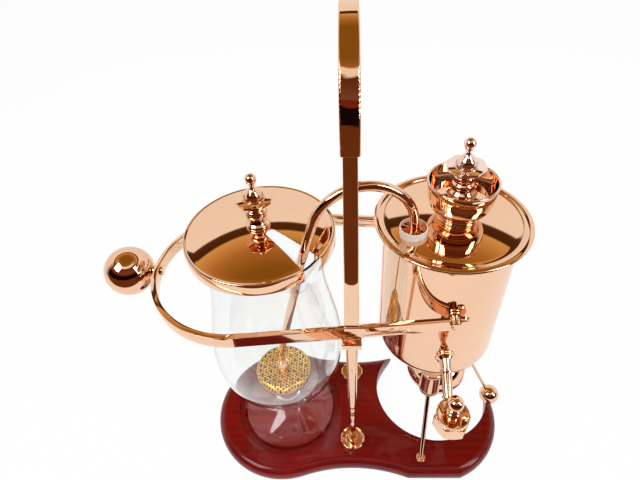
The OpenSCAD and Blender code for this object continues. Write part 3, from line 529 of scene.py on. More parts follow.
def turned(
    name: str, profile: Sequence[Point], axis: Point, steps: int, loop: bool = False
) -> Piece:
    """Turns a profile about a vertical axis, as on a lathe.

    Args:
        name: the piece's name.
        profile: radius and height of each point, in millimetres, from one end to the other.
        axis: X and Y of the axis, in millimetres.
        steps: how many sides the turned piece has.
        loop: whether the profile closes on itself, as a sheet's does.

    Returns:
        The new object, with its faces outward.
    """
    points = [Vector((axis[0] + r, axis[1], z)) * MM for r, z in profile]
    if loop:
        points.append(points[0].copy())
    piece = draw_chain(name, points)
    bpy.ops.mesh.select_all(action="SELECT")
    centre = (axis[0] * MM, axis[1] * MM, 0.0)
    bpy.ops.mesh.spin(steps=steps, angle=2 * math.pi, center=centre, axis=(0.0, 0.0, 1.0))
    close_mesh()
    return piece


def prism(name: str, outline: Sequence[Vector], height: float) -> Piece:
    """Draws a closed outline and pulls it up to a solid.

    Args:
        name: the piece's name.
        outline: its level corners, in millimetres.
        height: how far it rises, in millimetres.

    Returns:
        The new object, with its faces outward.
    """
    points = [corner * MM for corner in outline]
    piece = draw_chain(name, points + [points[0].copy()])
    bpy.ops.mesh.select_all(action="SELECT")
    bpy.ops.mesh.remove_doubles(threshold=WELD)
    bpy.ops.mesh.select_all(action="SELECT")
    bpy.ops.mesh.edge_face_add()
    bpy.ops.mesh.extrude_region_move(TRANSFORM_OT_translate={"value": (0, 0, height * MM)})
    close_mesh()
    return piece


def soften(piece: Piece, width: float, segments: int = 3, angle: float = 28.0) -> Piece:
    """Rounds every edge sharper than an angle.

    Args:
        piece: the object that is changed.
        width: the bevel's width in millimetres.
        segments: the number of faces across the bevel.
        angle: the least angle that is rounded, in degrees.

    Returns:
        The same object, shaded smooth.
    """
    apply_modifier(
        piece,
        "BEVEL",
        width=width * MM,
        segments=segments,
        limit_method="ANGLE",
        angle_limit=math.radians(angle),
        use_clamp_overlap=True,
        harden_normals=False,
    )
    smooth(piece, 40.0)
    return piece


def cut_away(piece: Piece, tool: Piece) -> None:
    """Cuts one piece with another and throws the tool away."""
    apply_modifier(piece, "BOOLEAN", object=tool, operation="DIFFERENCE", solver="EXACT")
    bpy.data.objects.remove(tool)


def drill(piece: Piece, mouth: Place, radius: float, depth: float, sides: int = 64) -> None:
    """Drills a vertical hole downward from a point, which has to be above all that is to be cut.

    Args:
        piece: the object that is drilled.
        mouth: the place of the hole's mouth, in millimetres.
        radius: the hole's radius in millimetres.
        depth: the hole's depth in millimetres.
        sides: how many sides the hole has.
    """
    deselect_all()
    x, y, z = mouth
    bpy.ops.mesh.primitive_cylinder_add(
        vertices=sides, radius=radius * MM, depth=depth * MM, location=(x * MM, y * MM, (z - depth / 2) * MM)
    )
    tool = bpy.context.object
    settle(tool)
    cut_away(piece, tool)


def copy_of(node: str) -> Piece:
    """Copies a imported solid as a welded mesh, ready to be finished further."""
    piece = bpy.data.objects.new(node + "_finished", NODES[node].data.copy())
    bpy.context.scene.collection.objects.link(piece)
    open_mesh(piece)
    bpy.ops.mesh.remove_doubles(threshold=WELD)
    bpy.ops.mesh.dissolve_limited(angle_limit=math.radians(0.6))
    bpy.ops.object.mode_set(mode="OBJECT")
    return piece


def raise_by(piece: Piece, rise: float) -> None:
    """Moves a whole mesh up by some millimetres."""
    open_mesh(piece)
    bpy.ops.transform.translate(value=(0.0, 0.0, rise * MM))
    bpy.ops.object.mode_set(mode="OBJECT")


# ---------------------------------------------------------------- measures and profiles


def span_of(node: str) -> tuple[Vector, Vector]:
    """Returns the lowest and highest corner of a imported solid, in millimetres."""
    low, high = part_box(node)
    return Vector(low) / MM, Vector(high) / MM


def axis_of(node: str) -> Point:
    """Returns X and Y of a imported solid's middle, in millimetres."""
    low, high = span_of(node)
    return (low.x + high.x) / 2, (low.y + high.y) / 2


def spread(start: float, end: float, count: int) -> list[float]:
    """Returns evenly spaced values from start to end, both included."""
    return [start + (end - start) * k / count for k in range(count + 1)]


def shifted(origin: Point, steps: Sequence[Point]) -> list[Point]:
    """Moves the points of a profile from the origin to another point."""
    return [(origin[0] + out, origin[1] + rise) for out, rise in steps]


def domed(rim: float, crown: float, reach: float, first: float, last: float, count: int = 14) -> list[Point]:
    """Lists points on a shallow dome.

    Args:
        rim: the height at the dome's edge.
        crown: how far its middle stands above that.
        reach: the radius of its edge.
        first: the radius of the first point.
        last: the radius of the last point.
        count: how many steps lie between them.

    Returns:
        The points, as radius and height.
    """
    return [(r, rim + crown * (1 - (r / reach) ** 2)) for r in spread(first, last, count)]


def arc_points(centre: Point, radius: float, start: float, end: float, count: int) -> list[Point]:
    """Returns points on an arc from one angle to another, in degrees, both ends included."""
    angles = [math.radians(angle) for angle in spread(start, end, count)]
    return [(centre[0] + radius * math.cos(a), centre[1] + radius * math.sin(a)) for a in angles]


def bend(start: Vector, corner: Vector, end: Vector, count: int) -> list[Vector]:
    """Returns points on a smooth bend from start to end that leans toward the corner."""
    return [start * (1 - t) ** 2 + corner * 2 * t * (1 - t) + end * t**2 for t in spread(0.0, 1.0, count)]


def filleted(points: Sequence[Point], radius: float, count: int = 4) -> list[Point]:
    """Rounds the inner corners of a profile.

    Args:
        points: the profile's corners.
        radius: the largest fillet; short sides get a smaller one.
        count: how many straight steps each fillet has.

    Returns:
        The profile with a short arc in place of each inner corner.
    """
    result = [points[0]]
    for before, corner, after in zip(points, points[1:], points[2:]):
        here, one, two = Vector(corner), Vector(before) - Vector(corner), Vector(after) - Vector(corner)
        reach = min(radius, 0.45 * one.length, 0.45 * two.length)
        start, end = here + one.normalized() * reach, here + two.normalized() * reach
        result += [(point.x, point.y) for point in bend(start, here, end, count)]
    return [*result, points[-1]]


# ---------------------------------------------------------------- sub-assemblies


@dataclass
class Assembly:
    """What every sub-assembly shares: its body and how its pieces are handed in."""

    rack: FinishRack
    body: str

    def hand_in(self, piece: Piece, finish: str, *nodes: str) -> None:
        """Finishes a piece, puts it in place of solids and lets it ride on the body.

        Args:
            piece: the finished mesh.
            finish: the name of its finish in the rack.
            *nodes: the solids that it stands for.
        """
        self.rack.coat(piece, finish)
        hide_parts(*nodes)
        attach(piece, self.body)
        LOG.info("%s rides on %s", piece.name, self.body)

    def finish_copies(self, finish: str, width: float, *nodes: str, rise: float = 0.0) -> None:
        """Copies solids whose shape is right, rounds their edges and hands them in.

        Args:
            finish: the name of their finish in the rack.
            width: the edges' rounding in millimetres.
            *nodes: the solids.
            rise: how far they sit above the solids, in millimetres.
        """
        for node in nodes:
            piece = soften(copy_of(node), width)
            if rise:
                raise_by(piece, rise)
            self.hand_in(piece, finish, node)

    def turn(
        self,
        node: str,
        finish: str,
        profile: Sequence[Point],
        sides: int = 64,
        crease: float = 50.0,
        axis: Point | None = None,
        loop: bool = False,
    ) -> None:
        """Turns the piece that stands for one solid, shades it smooth and hands it in.

        Args:
            node: the solid, which gives the piece its name.
            finish: the name of its finish in the rack.
            profile: radius and height of each point, in millimetres.
            sides: how many sides it has.
            crease: the angle in degrees above which an edge stays sharp.
            axis: X and Y of its axis, or None for the middle of the solid.
            loop: whether the profile closes on itself.
        """
        piece = turned(node + "_finished", profile, axis or axis_of(node), sides, loop)
        smooth(piece, crease)
        self.hand_in(piece, finish, node)


@dataclass
class WoodenBase(Assembly):
    """The figure-of-eight board with its recess, its opening and its holes."""

    thickness: float = 18.0
    edge: float = 8.4
    rim_edge: float = 0.7
    lobe_r: float = 69.0
    waist_half: float = 57.0
    left_x: float = -69.0
    right_x: float = 74.0
    axis_y: float = -3.0
    recess_x: float = -64.7
    recess_r: float = 52.5
    recess_depth: float = 4.5
    opening_at: Point = (82.0, 19.0)
    opening_r: float = 56.0
    foot_half: float = 37.0
    stud_r: float = 3.1
    nut_r: float = 8.0
    nut_depth: float = 6.0
    over: float = 4.0

    def outline(self) -> list[Vector]:
        """Returns the outline as tangent arcs on the table."""
        half = (self.right_x - self.left_x) / 2
        middle = (self.right_x + self.left_x) / 2
        hollow = (half**2 + self.waist_half**2 - self.lobe_r**2) / (2 * (self.lobe_r - self.waist_half))
        rise = hollow + self.waist_half
        lean = math.degrees(math.atan2(rise, half))
        points = arc_points((self.left_x, self.axis_y), self.lobe_r, lean, 360 - lean, 64)
        points += arc_points((middle, self.axis_y - rise), hollow, 180 - lean, lean, 18)[1:]
        points += arc_points((self.right_x, self.axis_y), self.lobe_r, -lean, lean, 64)[1:]
        points += arc_points((middle, self.axis_y + rise), hollow, -lean, lean - 180, 18)[1:-1]
        return [Vector((x, y, 0.0)) for x, y in points]

    def build(self) -> None:
        """Draws the board, rounds its edge and cuts its recess, opening and holes."""
        board = prism("base_board", self.outline(), self.thickness)
        soften(board, self.edge, 12, 60.0)
        mouth, through = self.thickness + self.over, self.thickness + 2 * self.over
        drill(board, (self.recess_x, 0.0, mouth), self.recess_r, self.recess_depth + self.over, 128)
        drill(board, (*self.opening_at, mouth), self.opening_r, through, 160)
        for y in (-self.foot_half, self.foot_half):
            drill(board, (0.0, y, mouth), self.stud_r, through)
            drill(board, (0.0, y, self.nut_depth), self.nut_r, self.nut_depth + 2)
        soften(board, self.rim_edge, 3, 42.0)
        self.hand_in(board, "wood", "base")


@dataclass
class Posts(Assembly):
    """The two posts from their foot discs to the arch."""

    def build(self) -> None:
        """Finishes the posts' pieces."""
        self.finish_copies("rose", 0.3, "foot_front", "foot_back", "leg_front", "leg_back")
        self.finish_copies("rose", 0.5, "yoke_front", "yoke_back", "upright_front", "upright_back")
        self.finish_copies("rose", 0.9, "arch_handle")
        self.finish_copies("copper", 0.25, "pivot_pins")
        self.finish_copies("zinc", 0.3, "leg_nuts")


@dataclass
class Beam(Assembly):
    """The bent band with its counterweight."""

    ball_sides: int = 96

    def build(self) -> None:
        """Finishes the band and turns the ball, whose side at the stud is cut off in the solid."""
        self.finish_copies("rose", 0.5, "beam")
        self.finish_copies("rose", 0.2, "weight_stud")
        low, high = span_of("weight_ball")
        radius = (high.z - low.z) / 2
        centre = Vector((low.x + radius, (low.y + high.y) / 2, low.z + radius))
        profile = arc_points((0.0, centre.z), radius, -90, 90, self.ball_sides // 2)
        self.turn("weight_ball", "rose", profile, self.ball_sides, 32.0, (centre.x, centre.y))


@dataclass
class Glass(Assembly):
    """The blown vessel: hollow foot, short stem and pear-shaped bowl."""

    axis: Point = (-64.7, 0.0)
    floor: float = 13.5
    stem_h: float = 21.5
    stem_r: float = 9.0
    foot_r: float = 47.0
    foot_lip: float = 2.0
    foot_power: float = 1.7
    hollow_end: float = 7.0
    bulge_h: float = 90.0
    bulge_r: float = 56.0
    waist_h: float = 97.0
    waist_r: float = 44.0
    mouth_h: float = 27.0
    mouth_r: float = 48.4
    wall: float = 1.8
    thick_below: float = 35.0

    def outer(self, z: float) -> float:
        """Returns the bowl's outer radius at a height."""
        stem_z = self.floor + self.stem_h
        bulge_z = stem_z + self.bulge_h
        waist_z = bulge_z + self.waist_h
        if z < bulge_z:
            wave = math.sin(math.pi / 2 * (z - stem_z) / self.bulge_h)
            return self.stem_r + (self.bulge_r - self.stem_r) * wave
        if z < waist_z:
            wave = (1 + math.cos(math.pi * (z - bulge_z) / self.waist_h)) / 2
            return self.waist_r + (self.bulge_r - self.waist_r) * wave
        wave = (1 + math.cos(math.pi * (z - waist_z) / self.mouth_h)) / 2
        return self.mouth_r + (self.waist_r - self.mouth_r) * wave

    def inner(self, z: float) -> float:
        """Returns the bowl's inner radius at a height; the wall is thicker near the stem."""
        below = max(0.0, self.floor + self.stem_h + self.thick_below - z)
        return max(self.outer(z) - self.wall - 0.02 * below**1.05, 0.0)

    def foot(self, z: float) -> float:
        """Returns the foot's outer radius at a height."""
        share = max(0.0, 1 - (z - self.floor - self.foot_lip) / (self.stem_h - self.foot_lip))
        return self.stem_r + (self.foot_r - self.stem_r) * share**self.foot_power

    def build(self) -> None:
        """Turns the vessel as one closed skin."""
        stem_z = self.floor + self.stem_h
        mouth_z = stem_z + self.bulge_h + self.waist_h + self.mouth_h
        bowl_floor, bowl_top = stem_z + 5, mouth_z - 1.5
        roof = stem_z - self.hollow_end
        foot_steps, bowl_steps, sides = 20, 72, 128
        outside = [(self.foot_r - 0.4, self.floor), (self.foot_r, self.floor + 0.6)]
        outside += [(self.foot(z), z) for z in spread(self.floor + self.foot_lip, stem_z, foot_steps)]
        outside += [(self.outer(z), z) for z in spread(stem_z, mouth_z, bowl_steps)[1:-1]]
        rim = arc_points((self.mouth_r - self.wall / 2, mouth_z - self.wall / 2), self.wall / 2, 0, 180, 8)
        shares = spread(1.0, 0.0, bowl_steps)[:-1]
        heights = [bowl_floor + (bowl_top - bowl_floor) * share**1.15 for share in shares]
        inside = [(self.inner(z), z) for z in heights] + [(0.0, bowl_floor)]
        hollow = [(max(self.foot(z + 4.2) - 1, 0.6), z) for z in spread(roof, self.floor, foot_steps)[1:-1]]
        under = [(0.0, roof), *hollow, (self.foot_r - 3, self.floor), outside[0]]
        skin = turned("glass_skin", outside + rim + inside, self.axis, sides)
        below = turned("glass_under", under, self.axis, sides)
        make_active(skin)
        below.select_set(True)
        bpy.ops.object.join()
        open_mesh(skin)
        close_mesh()
        smooth(skin, 60.0)
        skin.name = "glass_blown"
        skin.visible_shadow = False
        self.hand_in(skin, "glass", "glass_vessel")


@dataclass
class Knob:
    """The plate-and-ball top that the glass lid and the filler plug share."""

    owner: Assembly
    prefix: str
    tone: str
    ball_r: float = 3.9
    neck_r: float = 1.5
    dome: Profile = (
        (0.0, 0.0), (6.2, 0.0), (6.2, 1.0), (5.4, 4.0), (3.6, 6.4), (1.9, 8.0), (1.7, 10.0), (2.4, 11.0),
    )  # fmt: skip

    def build(self) -> None:
        """Finishes the eight-sided plate and turns the dome, neck and ball."""
        self.owner.finish_copies(self.tone, 0.25, self.prefix + "_plate")
        low, high = span_of(self.prefix + "_ball")
        centre = high.z - self.ball_r
        start = math.degrees(math.asin(self.neck_r / self.ball_r)) - 90
        neck_top = (self.neck_r, centre - math.sqrt(self.ball_r**2 - self.neck_r**2))
        profile = filleted([*shifted((0.0, low.z), self.dome), neck_top], 0.8)
        profile += arc_points((0.0, centre), self.ball_r, start, 90, 24)
        self.owner.turn(self.prefix + "_ball", self.tone, profile)


@dataclass
class GlassLid(Assembly):
    """The domed sheet lid with its skirt, its seat, its slot and its turned knob."""

    radius: float = 54.0
    crown: float = 5.6
    rim: float = 1.6
    roll: float = 0.9
    step: float = 0.3
    skirt: float = 9.5
    sheet: float = 0.8
    seat_r: float = 48.2
    seat_depth: float = 6.0
    slot_start: float = 14.0
    slot_in: float = 7.6
    slot_out: float = 17.0
    slot_angle: float = -41.6
    knob_base: float = 5.2
    stem: Profile = (
        (0.0, 0.0), (8.6, 0.0), (8.6, 2.4), (6.6, 3.8), (5.4, 6.6), (5.4, 7.8),
        (7.6, 9.2), (8.0, 11.6), (7.6, 14.0), (5.6, 15.4), (5.2, 17.4),
    )  # fmt: skip
    stem_top: float = 5.8

    def build(self) -> None:
        """Turns the sheet, cuts the slot and adds the knob."""
        x, top = axis_of("glass_lid")[0], span_of("glass_lid")[1].z
        floor = top - self.step
        under, skirt_z, seat_z = floor - self.sheet, top - self.skirt, top - self.seat_depth
        inner_r, seat_in = self.radius - self.sheet, self.seat_r - self.sheet
        edge = self.radius - self.rim - 0.8
        upper = domed(floor, self.crown, edge, 0.0, edge) + [(edge + 0.4, floor), (edge + 0.8, top)]
        upper += arc_points((self.radius - self.roll, top - self.roll), self.roll, 90, 0, 7)
        upper += [(self.radius, skirt_z)]
        inner = [(inner_r, skirt_z), (inner_r, top - self.sheet - 0.6), (self.radius - 1.4, under)]
        inner += domed(under, self.crown, edge, edge - 0.6, self.seat_r, 2)
        inner += [(self.seat_r, seat_z), (seat_in, seat_z)]
        inner += domed(under, self.crown, edge, seat_in, 0.0)
        lid = turned("glass_lid_sheet", upper + inner, (x, 0.0), 160)
        self.cut_slot(lid, x, top)
        soften(lid, 0.22, 2, 50.0)
        self.hand_in(lid, "rose", "glass_lid")
        stem_top = span_of("lid_knob_stem")[1].z
        stem = shifted((0.0, top + self.knob_base), self.stem) + [(self.stem_top, stem_top), (0.0, stem_top)]
        self.turn("lid_knob_stem", "rose", filleted(stem, 1.1, 5), 80, 45.0, (x, 0.0))
        Knob(self, "lid_knob", "rose").build()

    def cut_slot(self, lid: Piece, x: float, top: float) -> None:
        """Cuts the wedge-shaped slot with its round inner end.

        Args:
            lid: the lid's sheet.
            x: where the lid's axis is.
            top: the height of the lid's rim.
        """
        reach = self.radius + 3
        end = arc_points((self.slot_start, 0.0), self.slot_in / 2, 90, 270, 16)
        turn = Matrix.Rotation(math.radians(self.slot_angle), 3, "Z")
        foot = Vector((x, 0.0, top - self.skirt - 4))
        outline = [*end, (reach, -self.slot_out / 2), (reach, self.slot_out / 2)]
        corners = [turn @ Vector((px, py, 0.0)) + foot for px, py in outline]
        cut_away(lid, prism("slot_tool", corners, self.skirt + 14))


@dataclass
class Boiler(Assembly):
    """The drawn shell with its cover, filler cup, trunnions and tap."""

    radius: float = 46.0
    corner: float = 20.0
    sheet: float = 0.8
    cover_r: float = 52.4
    cover_rim: float = 4.6
    cover_step: float = 1.6
    crown: float = 3.8
    spigot_r: float = 43.4
    spigot_depth: float = 10.5
    hole_depth: float = 16.0
    stopper_at: Point = (40.92, -15.71)
    stopper_hole: float = 7.6
    neck_r: float = 12.5
    neck_wall: float = 0.4
    neck_rise: float = 2.6
    neck_bead: Profile = ((0.0, -0.6), (1.6, -0.4), (1.6, 0.6), (0.0, 1.2))
    flare_z: float = 271.2
    flare_bead: Profile = ((0.0, -2.0), (1.8, -1.4), (1.8, -0.2), (0.6, 0.4))
    bowl: Profile = ((15.0, 1.0), (18.0, 3.2), (20.4, 7.2), (21.6, 12.4), (22.1, 18.2))
    cup_r: float = 22.6
    cup_roll: float = 0.8

    def build(self) -> None:
        """Builds every piece that is fixed to the boiler."""
        x, bottom = axis_of("boiler_shell")[0], span_of("boiler_shell")[0].z
        top = span_of("boiler_cover")[1].z
        self.build_shell(x, bottom, top - self.cover_step - self.sheet)
        self.build_cover(x, top)
        self.build_filler(top + self.neck_rise)
        self.finish_copies("rose", 0.3, "trunnion_front", "trunnion_back")
        self.finish_copies("rose", 0.25, "tap_rosette", "tap_pipe")
        self.finish_copies("rose", 0.45, "tap_valve")
        self.finish_copies("rose", 0.12, "tap_gland")

    def build_shell(self, x: float, bottom: float, top: float) -> None:
        """Turns the deep-drawn shell with its rounded bottom.

        Args:
            x: where the boiler's axis is.
            bottom: the height of its lowest point.
            top: the height of its open end.
        """
        bend_z = bottom + self.corner
        inner_r, inner_corner = self.radius - self.sheet, self.corner - self.sheet
        outer = [(0.0, bottom), *arc_points((self.radius - self.corner, bend_z), self.corner, -90, 0, 20)]
        inner = arc_points((inner_r - inner_corner, bend_z), inner_corner, 0, -90, 20)
        profile = [*outer, (self.radius, top), (inner_r, top), *inner, (0.0, bottom + self.sheet)]
        shell = turned("boiler_drawn_shell", profile, (x, 0.0), 160)
        smooth(shell, 35.0)
        self.hand_in(shell, "rose", "boiler_shell")

    def build_cover(self, x: float, top: float) -> None:
        """Turns the domed cover with its rolled lip and cuts its two holes from above the dome.

        Args:
            x: where the boiler's axis is.
            top: the height of the cover's rim.
        """
        reach = self.cover_r - self.cover_rim
        edge = reach - 1.6
        floor = top - self.cover_step
        under, spigot_z, spigot_in = floor - self.sheet, top - self.spigot_depth, self.spigot_r - self.sheet
        upper = domed(floor, self.crown, edge, 0.0, edge)
        upper += [(reach - 0.8, floor + 0.2), (reach - 0.1, top - 0.5), (reach + 0.5, top)]
        upper += [(self.cover_r - 1.2, top)]
        lip = arc_points((self.cover_r - 0.6, top - 1.6), 1.2, 75, -150, 14)
        lower = [(self.cover_r - 1.7, top - self.sheet - 0.3)]
        lower += [(reach + 0.6, top - self.sheet), (reach, under + 0.2)]
        lower += domed(under, self.crown, edge, edge, self.spigot_r, 3)
        lower += [(self.spigot_r, spigot_z), (spigot_in, spigot_z)]
        lower += domed(under, self.crown, edge, spigot_in, 0.0)
        cover = turned("boiler_cover_sheet", upper + lip + lower, (x, 0.0), 160)
        mouth, depth = top + self.crown, self.hole_depth + self.crown
        drill(cover, (*self.stopper_at, mouth), self.stopper_hole, depth)
        drill(cover, (axis_of("filler_cup")[0], 0.0, mouth), self.neck_r - self.neck_wall, depth)
        smooth(cover, 40.0)
        self.hand_in(cover, "rose", "boiler_cover")

    def build_filler(self, collar: float) -> None:
        """Turns the filler: neck, bead, flare and rolled cup.

        Args:
            collar: the height of the bead at the neck's foot.
        """
        low, high = span_of("filler_cup")
        outside = [(self.neck_r, low.z), *shifted((self.neck_r, collar), self.neck_bead)]
        outside += shifted((self.neck_r, self.flare_z), self.flare_bead)
        outside += shifted((0.0, self.flare_z), self.bowl) + [(self.cup_r - 0.2, high.z - 1.2)]
        centre = (self.cup_r - self.cup_roll / 2, high.z - self.cup_roll)
        roll = arc_points(centre, self.cup_roll, -20, 190, 12)
        inside = [(self.cup_r - 1.2, high.z - 1.4), *shifted((-1.0, self.flare_z + 0.5), self.bowl[::-1])]
        inside += [(self.neck_r - 1, self.flare_z), (self.neck_r - 1, low.z)]
        profile = filleted(outside, 1.3, 5) + roll + filleted(inside, 1.6, 5)
        self.turn("filler_cup", "rose", profile, 128, axis=(axis_of("filler_cup")[0], 0.0), loop=True)


@dataclass
class TapKey(Assembly):
    """The turning plug of the tap with its ball handle."""

    ball_r: float = 5.6
    ball_start: float = -63.0
    neck: Point = (2.5, -5.05)
    handle: Profile = (
        (0.0, 0.0), (4.2, 0.0), (5.0, 1.0), (4.4, 2.2), (3.2, 3.0), (4.3, 4.4), (4.3, 5.6), (2.9, 6.6),
    )  # fmt: skip

    def build(self) -> None:
        """Turns the handle and finishes the plug."""
        self.finish_copies("rose", 0.2, "tap_key")
        low, high = span_of("tap_knob")
        centre = (0.0, high.z - self.ball_r)
        profile = filleted(shifted((0.0, low.z), self.handle) + shifted(centre, [self.neck]), 0.7)
        profile += arc_points(centre, self.ball_r, self.ball_start, 90, 28)
        self.turn("tap_knob", "rose", profile)


@dataclass
class FillerPlug(Assembly):
    """The plug of the filler: silicone seal, turned stem, plate and ball."""

    seal_r: float = 17.2
    seal_tip_r: float = 11.0
    seal_z: float = 271.2
    seal_tip: float = 5.0
    stem: Profile = (
        (0.0, 0.0), (16.2, 0.0), (16.2, 1.5), (9.4, 1.7), (9.0, 3.4), (6.6, 5.6),
        (7.4, 7.6), (7.4, 9.4), (5.6, 11.0), (6.8, 13.0), (6.8, 15.0), (5.0, 16.4),
    )  # fmt: skip
    stem_top: float = 5.4

    def build(self) -> None:
        """Turns the soft plug that fills the neck and the flare, then the stem, plate and ball."""
        x, high = axis_of("plug_seal")[0], span_of("plug_seal")[1]
        tip = self.seal_z - self.seal_tip
        seal = [(0.0, tip), (self.seal_tip_r - 0.4, tip), (self.seal_tip_r, self.seal_z)]
        seal += [(self.seal_r, high.z - 1), (self.seal_r, high.z), (0.0, high.z)]
        self.turn("plug_seal", "silicone", filleted(seal, 0.5), 80, 40.0, (x, 0.0))
        x, (low, high) = axis_of("plug_knob_stem")[0], span_of("plug_knob_stem")
        stem = shifted((0.0, low.z), self.stem) + [(self.stem_top, high.z), (0.0, high.z)]
        self.turn("plug_knob_stem", "rose", filleted(stem, 0.9, 5), 80, 45.0, (x, 0.0))
        Knob(self, "plug_knob", "pink").build()


@dataclass
class Siphon(Assembly):
    """The bent tube with its stopper and filter."""

    tube_r: float = 3.25
    wall: float = 0.75
    bend_r: float = 33.5
    fall: float = 17.0
    heading: float = 189.3
    foot: Place = (40.92, -15.71, 142.0)
    bend_z: float = 273.0
    kink: Place = (-34.98, -28.14, 245.58)
    drop: Place = (-64.7, 0.0, 109.0)
    end_z: float = 76.0
    kink_r: float = 14.0
    stopper_rise: float = 3.8
    sides: int = 32

    def build(self) -> None:
        """Sweeps the tube, and finishes the stopper and the filter."""
        self.build_tube()
        self.finish_copies("silicone", 0.5, "siphon_stopper", rise=self.stopper_rise)
        self.finish_copies("copper", 0.25, "stopper_cap", rise=self.stopper_rise)
        self.finish_copies("rose", 0.3, "filter_hub", "filter_plate")
        self.finish_copies("gold", 0.15, "filter_dome")

    def route(self) -> list[Vector]:
        """Returns the tube's centreline from the boiler to the filter."""
        head = math.radians(self.heading)
        along = Vector((math.cos(head), math.sin(head), 0.0))
        foot = Vector(self.foot)
        points = [foot, Vector((foot.x, foot.y, self.bend_z - 30))]
        for turn in spread(math.pi, math.radians(self.fall), 40):
            offset = along * (self.bend_r + self.bend_r * math.cos(turn))
            points.append(Vector((foot.x, foot.y, self.bend_z + self.bend_r * math.sin(turn))) + offset)
        corners = [points[-1], Vector(self.kink), Vector(self.drop), Vector((*self.drop[:2], self.end_z))]
        for before, corner, after in zip(corners, corners[1:], corners[2:]):
            one, two = (before - corner).normalized(), (after - corner).normalized()
            reach = self.kink_r / math.tan(one.angle(two) / 2)
            points += bend(corner + one * reach, corner, corner + two * reach, 8)
        return [*points, corners[-1]]

    def build_tube(self) -> None:
        """Extrudes a ring of vertices along the route and gives the skin its wall."""
        route = self.route()
        deselect_all()
        start = route[0] * MM
        bpy.ops.mesh.primitive_circle_add(vertices=self.sides, radius=self.tube_r * MM, location=start)
        tube = bpy.context.object
        tube.name = "siphon_bent_tube"
        settle(tube)
        open_mesh(tube)
        facing = Vector((0.0, 0.0, 1.0))
        ways = [(there - here).normalized() for here, there in zip(route, route[1:])]
        for here, there, way, onward in zip(route, route[1:], ways, [*ways[1:], ways[-1]]):
            bpy.ops.mesh.extrude_region_move(TRANSFORM_OT_translate={"value": (there - here) * MM})
            wanted = (way + onward).normalized()
            angle = facing.angle(wanted)
            if angle > 1e-5:
                self.turn_ring(angle, facing.cross(wanted).normalized(), there)
                facing = wanted
        close_mesh()
        apply_modifier(tube, "SOLIDIFY", thickness=self.wall * MM, offset=-1.0, use_even_offset=True)
        smooth(tube, 50.0)
        self.hand_in(tube, "rose", "siphon_tube")

    def turn_ring(self, angle: float, axis: Vector, centre: Vector) -> None:
        """Turns the selected ring about an axis through its centre.

        Args:
            angle: how far it turns, in radians, right-handed about the axis.
            axis: the axis's direction.
            centre: the ring's centre in millimetres.
        """
        for name, part in zip("XYZ", Matrix.Rotation(angle, 3, axis).to_euler("XYZ")):
            bpy.ops.transform.rotate(
                value=-part, orient_axis=name, orient_type="GLOBAL", center_override=centre * MM
            )


@dataclass
class Burner(Assembly):
    """The spirit burner with its collar, wick, sleeve and arm."""

    bowl_r: float = 20.0
    bowl_flat: float = 7.8
    bowl_wall: float = 1.2
    neck_r: float = 5.0
    sleeve_bead: float = 0.7
    sleeve_bore: float = 2.0
    bore_depth: float = 4.0

    def build(self) -> None:
        """Turns the bowl, the sleeve and the wick and finishes the rest."""
        low, high = span_of("burner_bowl")
        centre = (self.bowl_flat, (low.z + high.z) / 2)
        bowl = [(0.0, low.z), *arc_points(centre, self.bowl_r, -90, 90, 36)]
        bowl += [(self.neck_r, high.z), (self.neck_r, high.z - self.bowl_wall)]
        bowl += arc_points(centre, self.bowl_r - self.bowl_wall, 90, -90, 36)
        bowl += [(0.0, low.z + self.bowl_wall)]
        self.turn("burner_bowl", "rose", bowl, 96, 40.0)
        self.build_sleeve()
        self.finish_copies("rose", 0.3, "burner_collar", "burner_bracket", "arm_ferrule", "snuffer_fork")
        self.finish_copies("rose", 0.1, "burner_arm")
        self.finish_copies("copper", 0.2, "snuffer_pin")
        self.build_wick()

    def build_sleeve(self) -> None:
        """Turns the sleeve with its two beads and its bore."""
        low, high = span_of("burner_sleeve")
        radius = (high.x - low.x) / 2
        body, bore = -self.sleeve_bead, -self.sleeve_bore
        lower = ((-radius, 0.0), (-0.8, 0.0), (0.0, 0.8), (0.0, 2.6), (body, 3.4))
        upper = ((body, -3.6), (0.0, -2.8), (0.0, -1.0), (-0.9, 0.0), (bore, 0.0), (bore, -self.bore_depth))
        profile = shifted((radius, low.z), lower) + shifted((radius, high.z), upper)
        profile += [(0.0, high.z - self.bore_depth)]
        self.turn("burner_sleeve", "rose", filleted(profile, 0.5), crease=45.0)

    def build_wick(self) -> None:
        """Turns the wick with a frayed, crowned end."""
        low, high = span_of("burner_wick")
        radius = (high.x - low.x) / 2
        crown = ((1.0, -1.4), (0.9, -0.5), (0.55, 0.0), (0.2, -0.5), (0.0, -0.7))
        profile = [(0.0, low.z), (radius, low.z)]
        profile += [(radius * share, high.z + drop) for share, drop in crown]
        self.turn("burner_wick", "wick", profile, 32, 60.0)


@dataclass
class Snuffer(Assembly):
    """The lever with its cap and ball."""

    def build(self) -> None:
        """Finishes the lever and cap and turns the ball."""
        self.finish_copies("rose", 0.25, "snuffer_lever", "snuffer_cap")
        low, high = span_of("snuffer_ball")
        radius = (high.z - low.z) / 2
        profile = arc_points((0.0, (low.z + high.z) / 2), radius, -90, 90, 32)
        self.turn("snuffer_ball", "rose", profile, crease=32.0)


# ---------------------------------------------------------------- studio


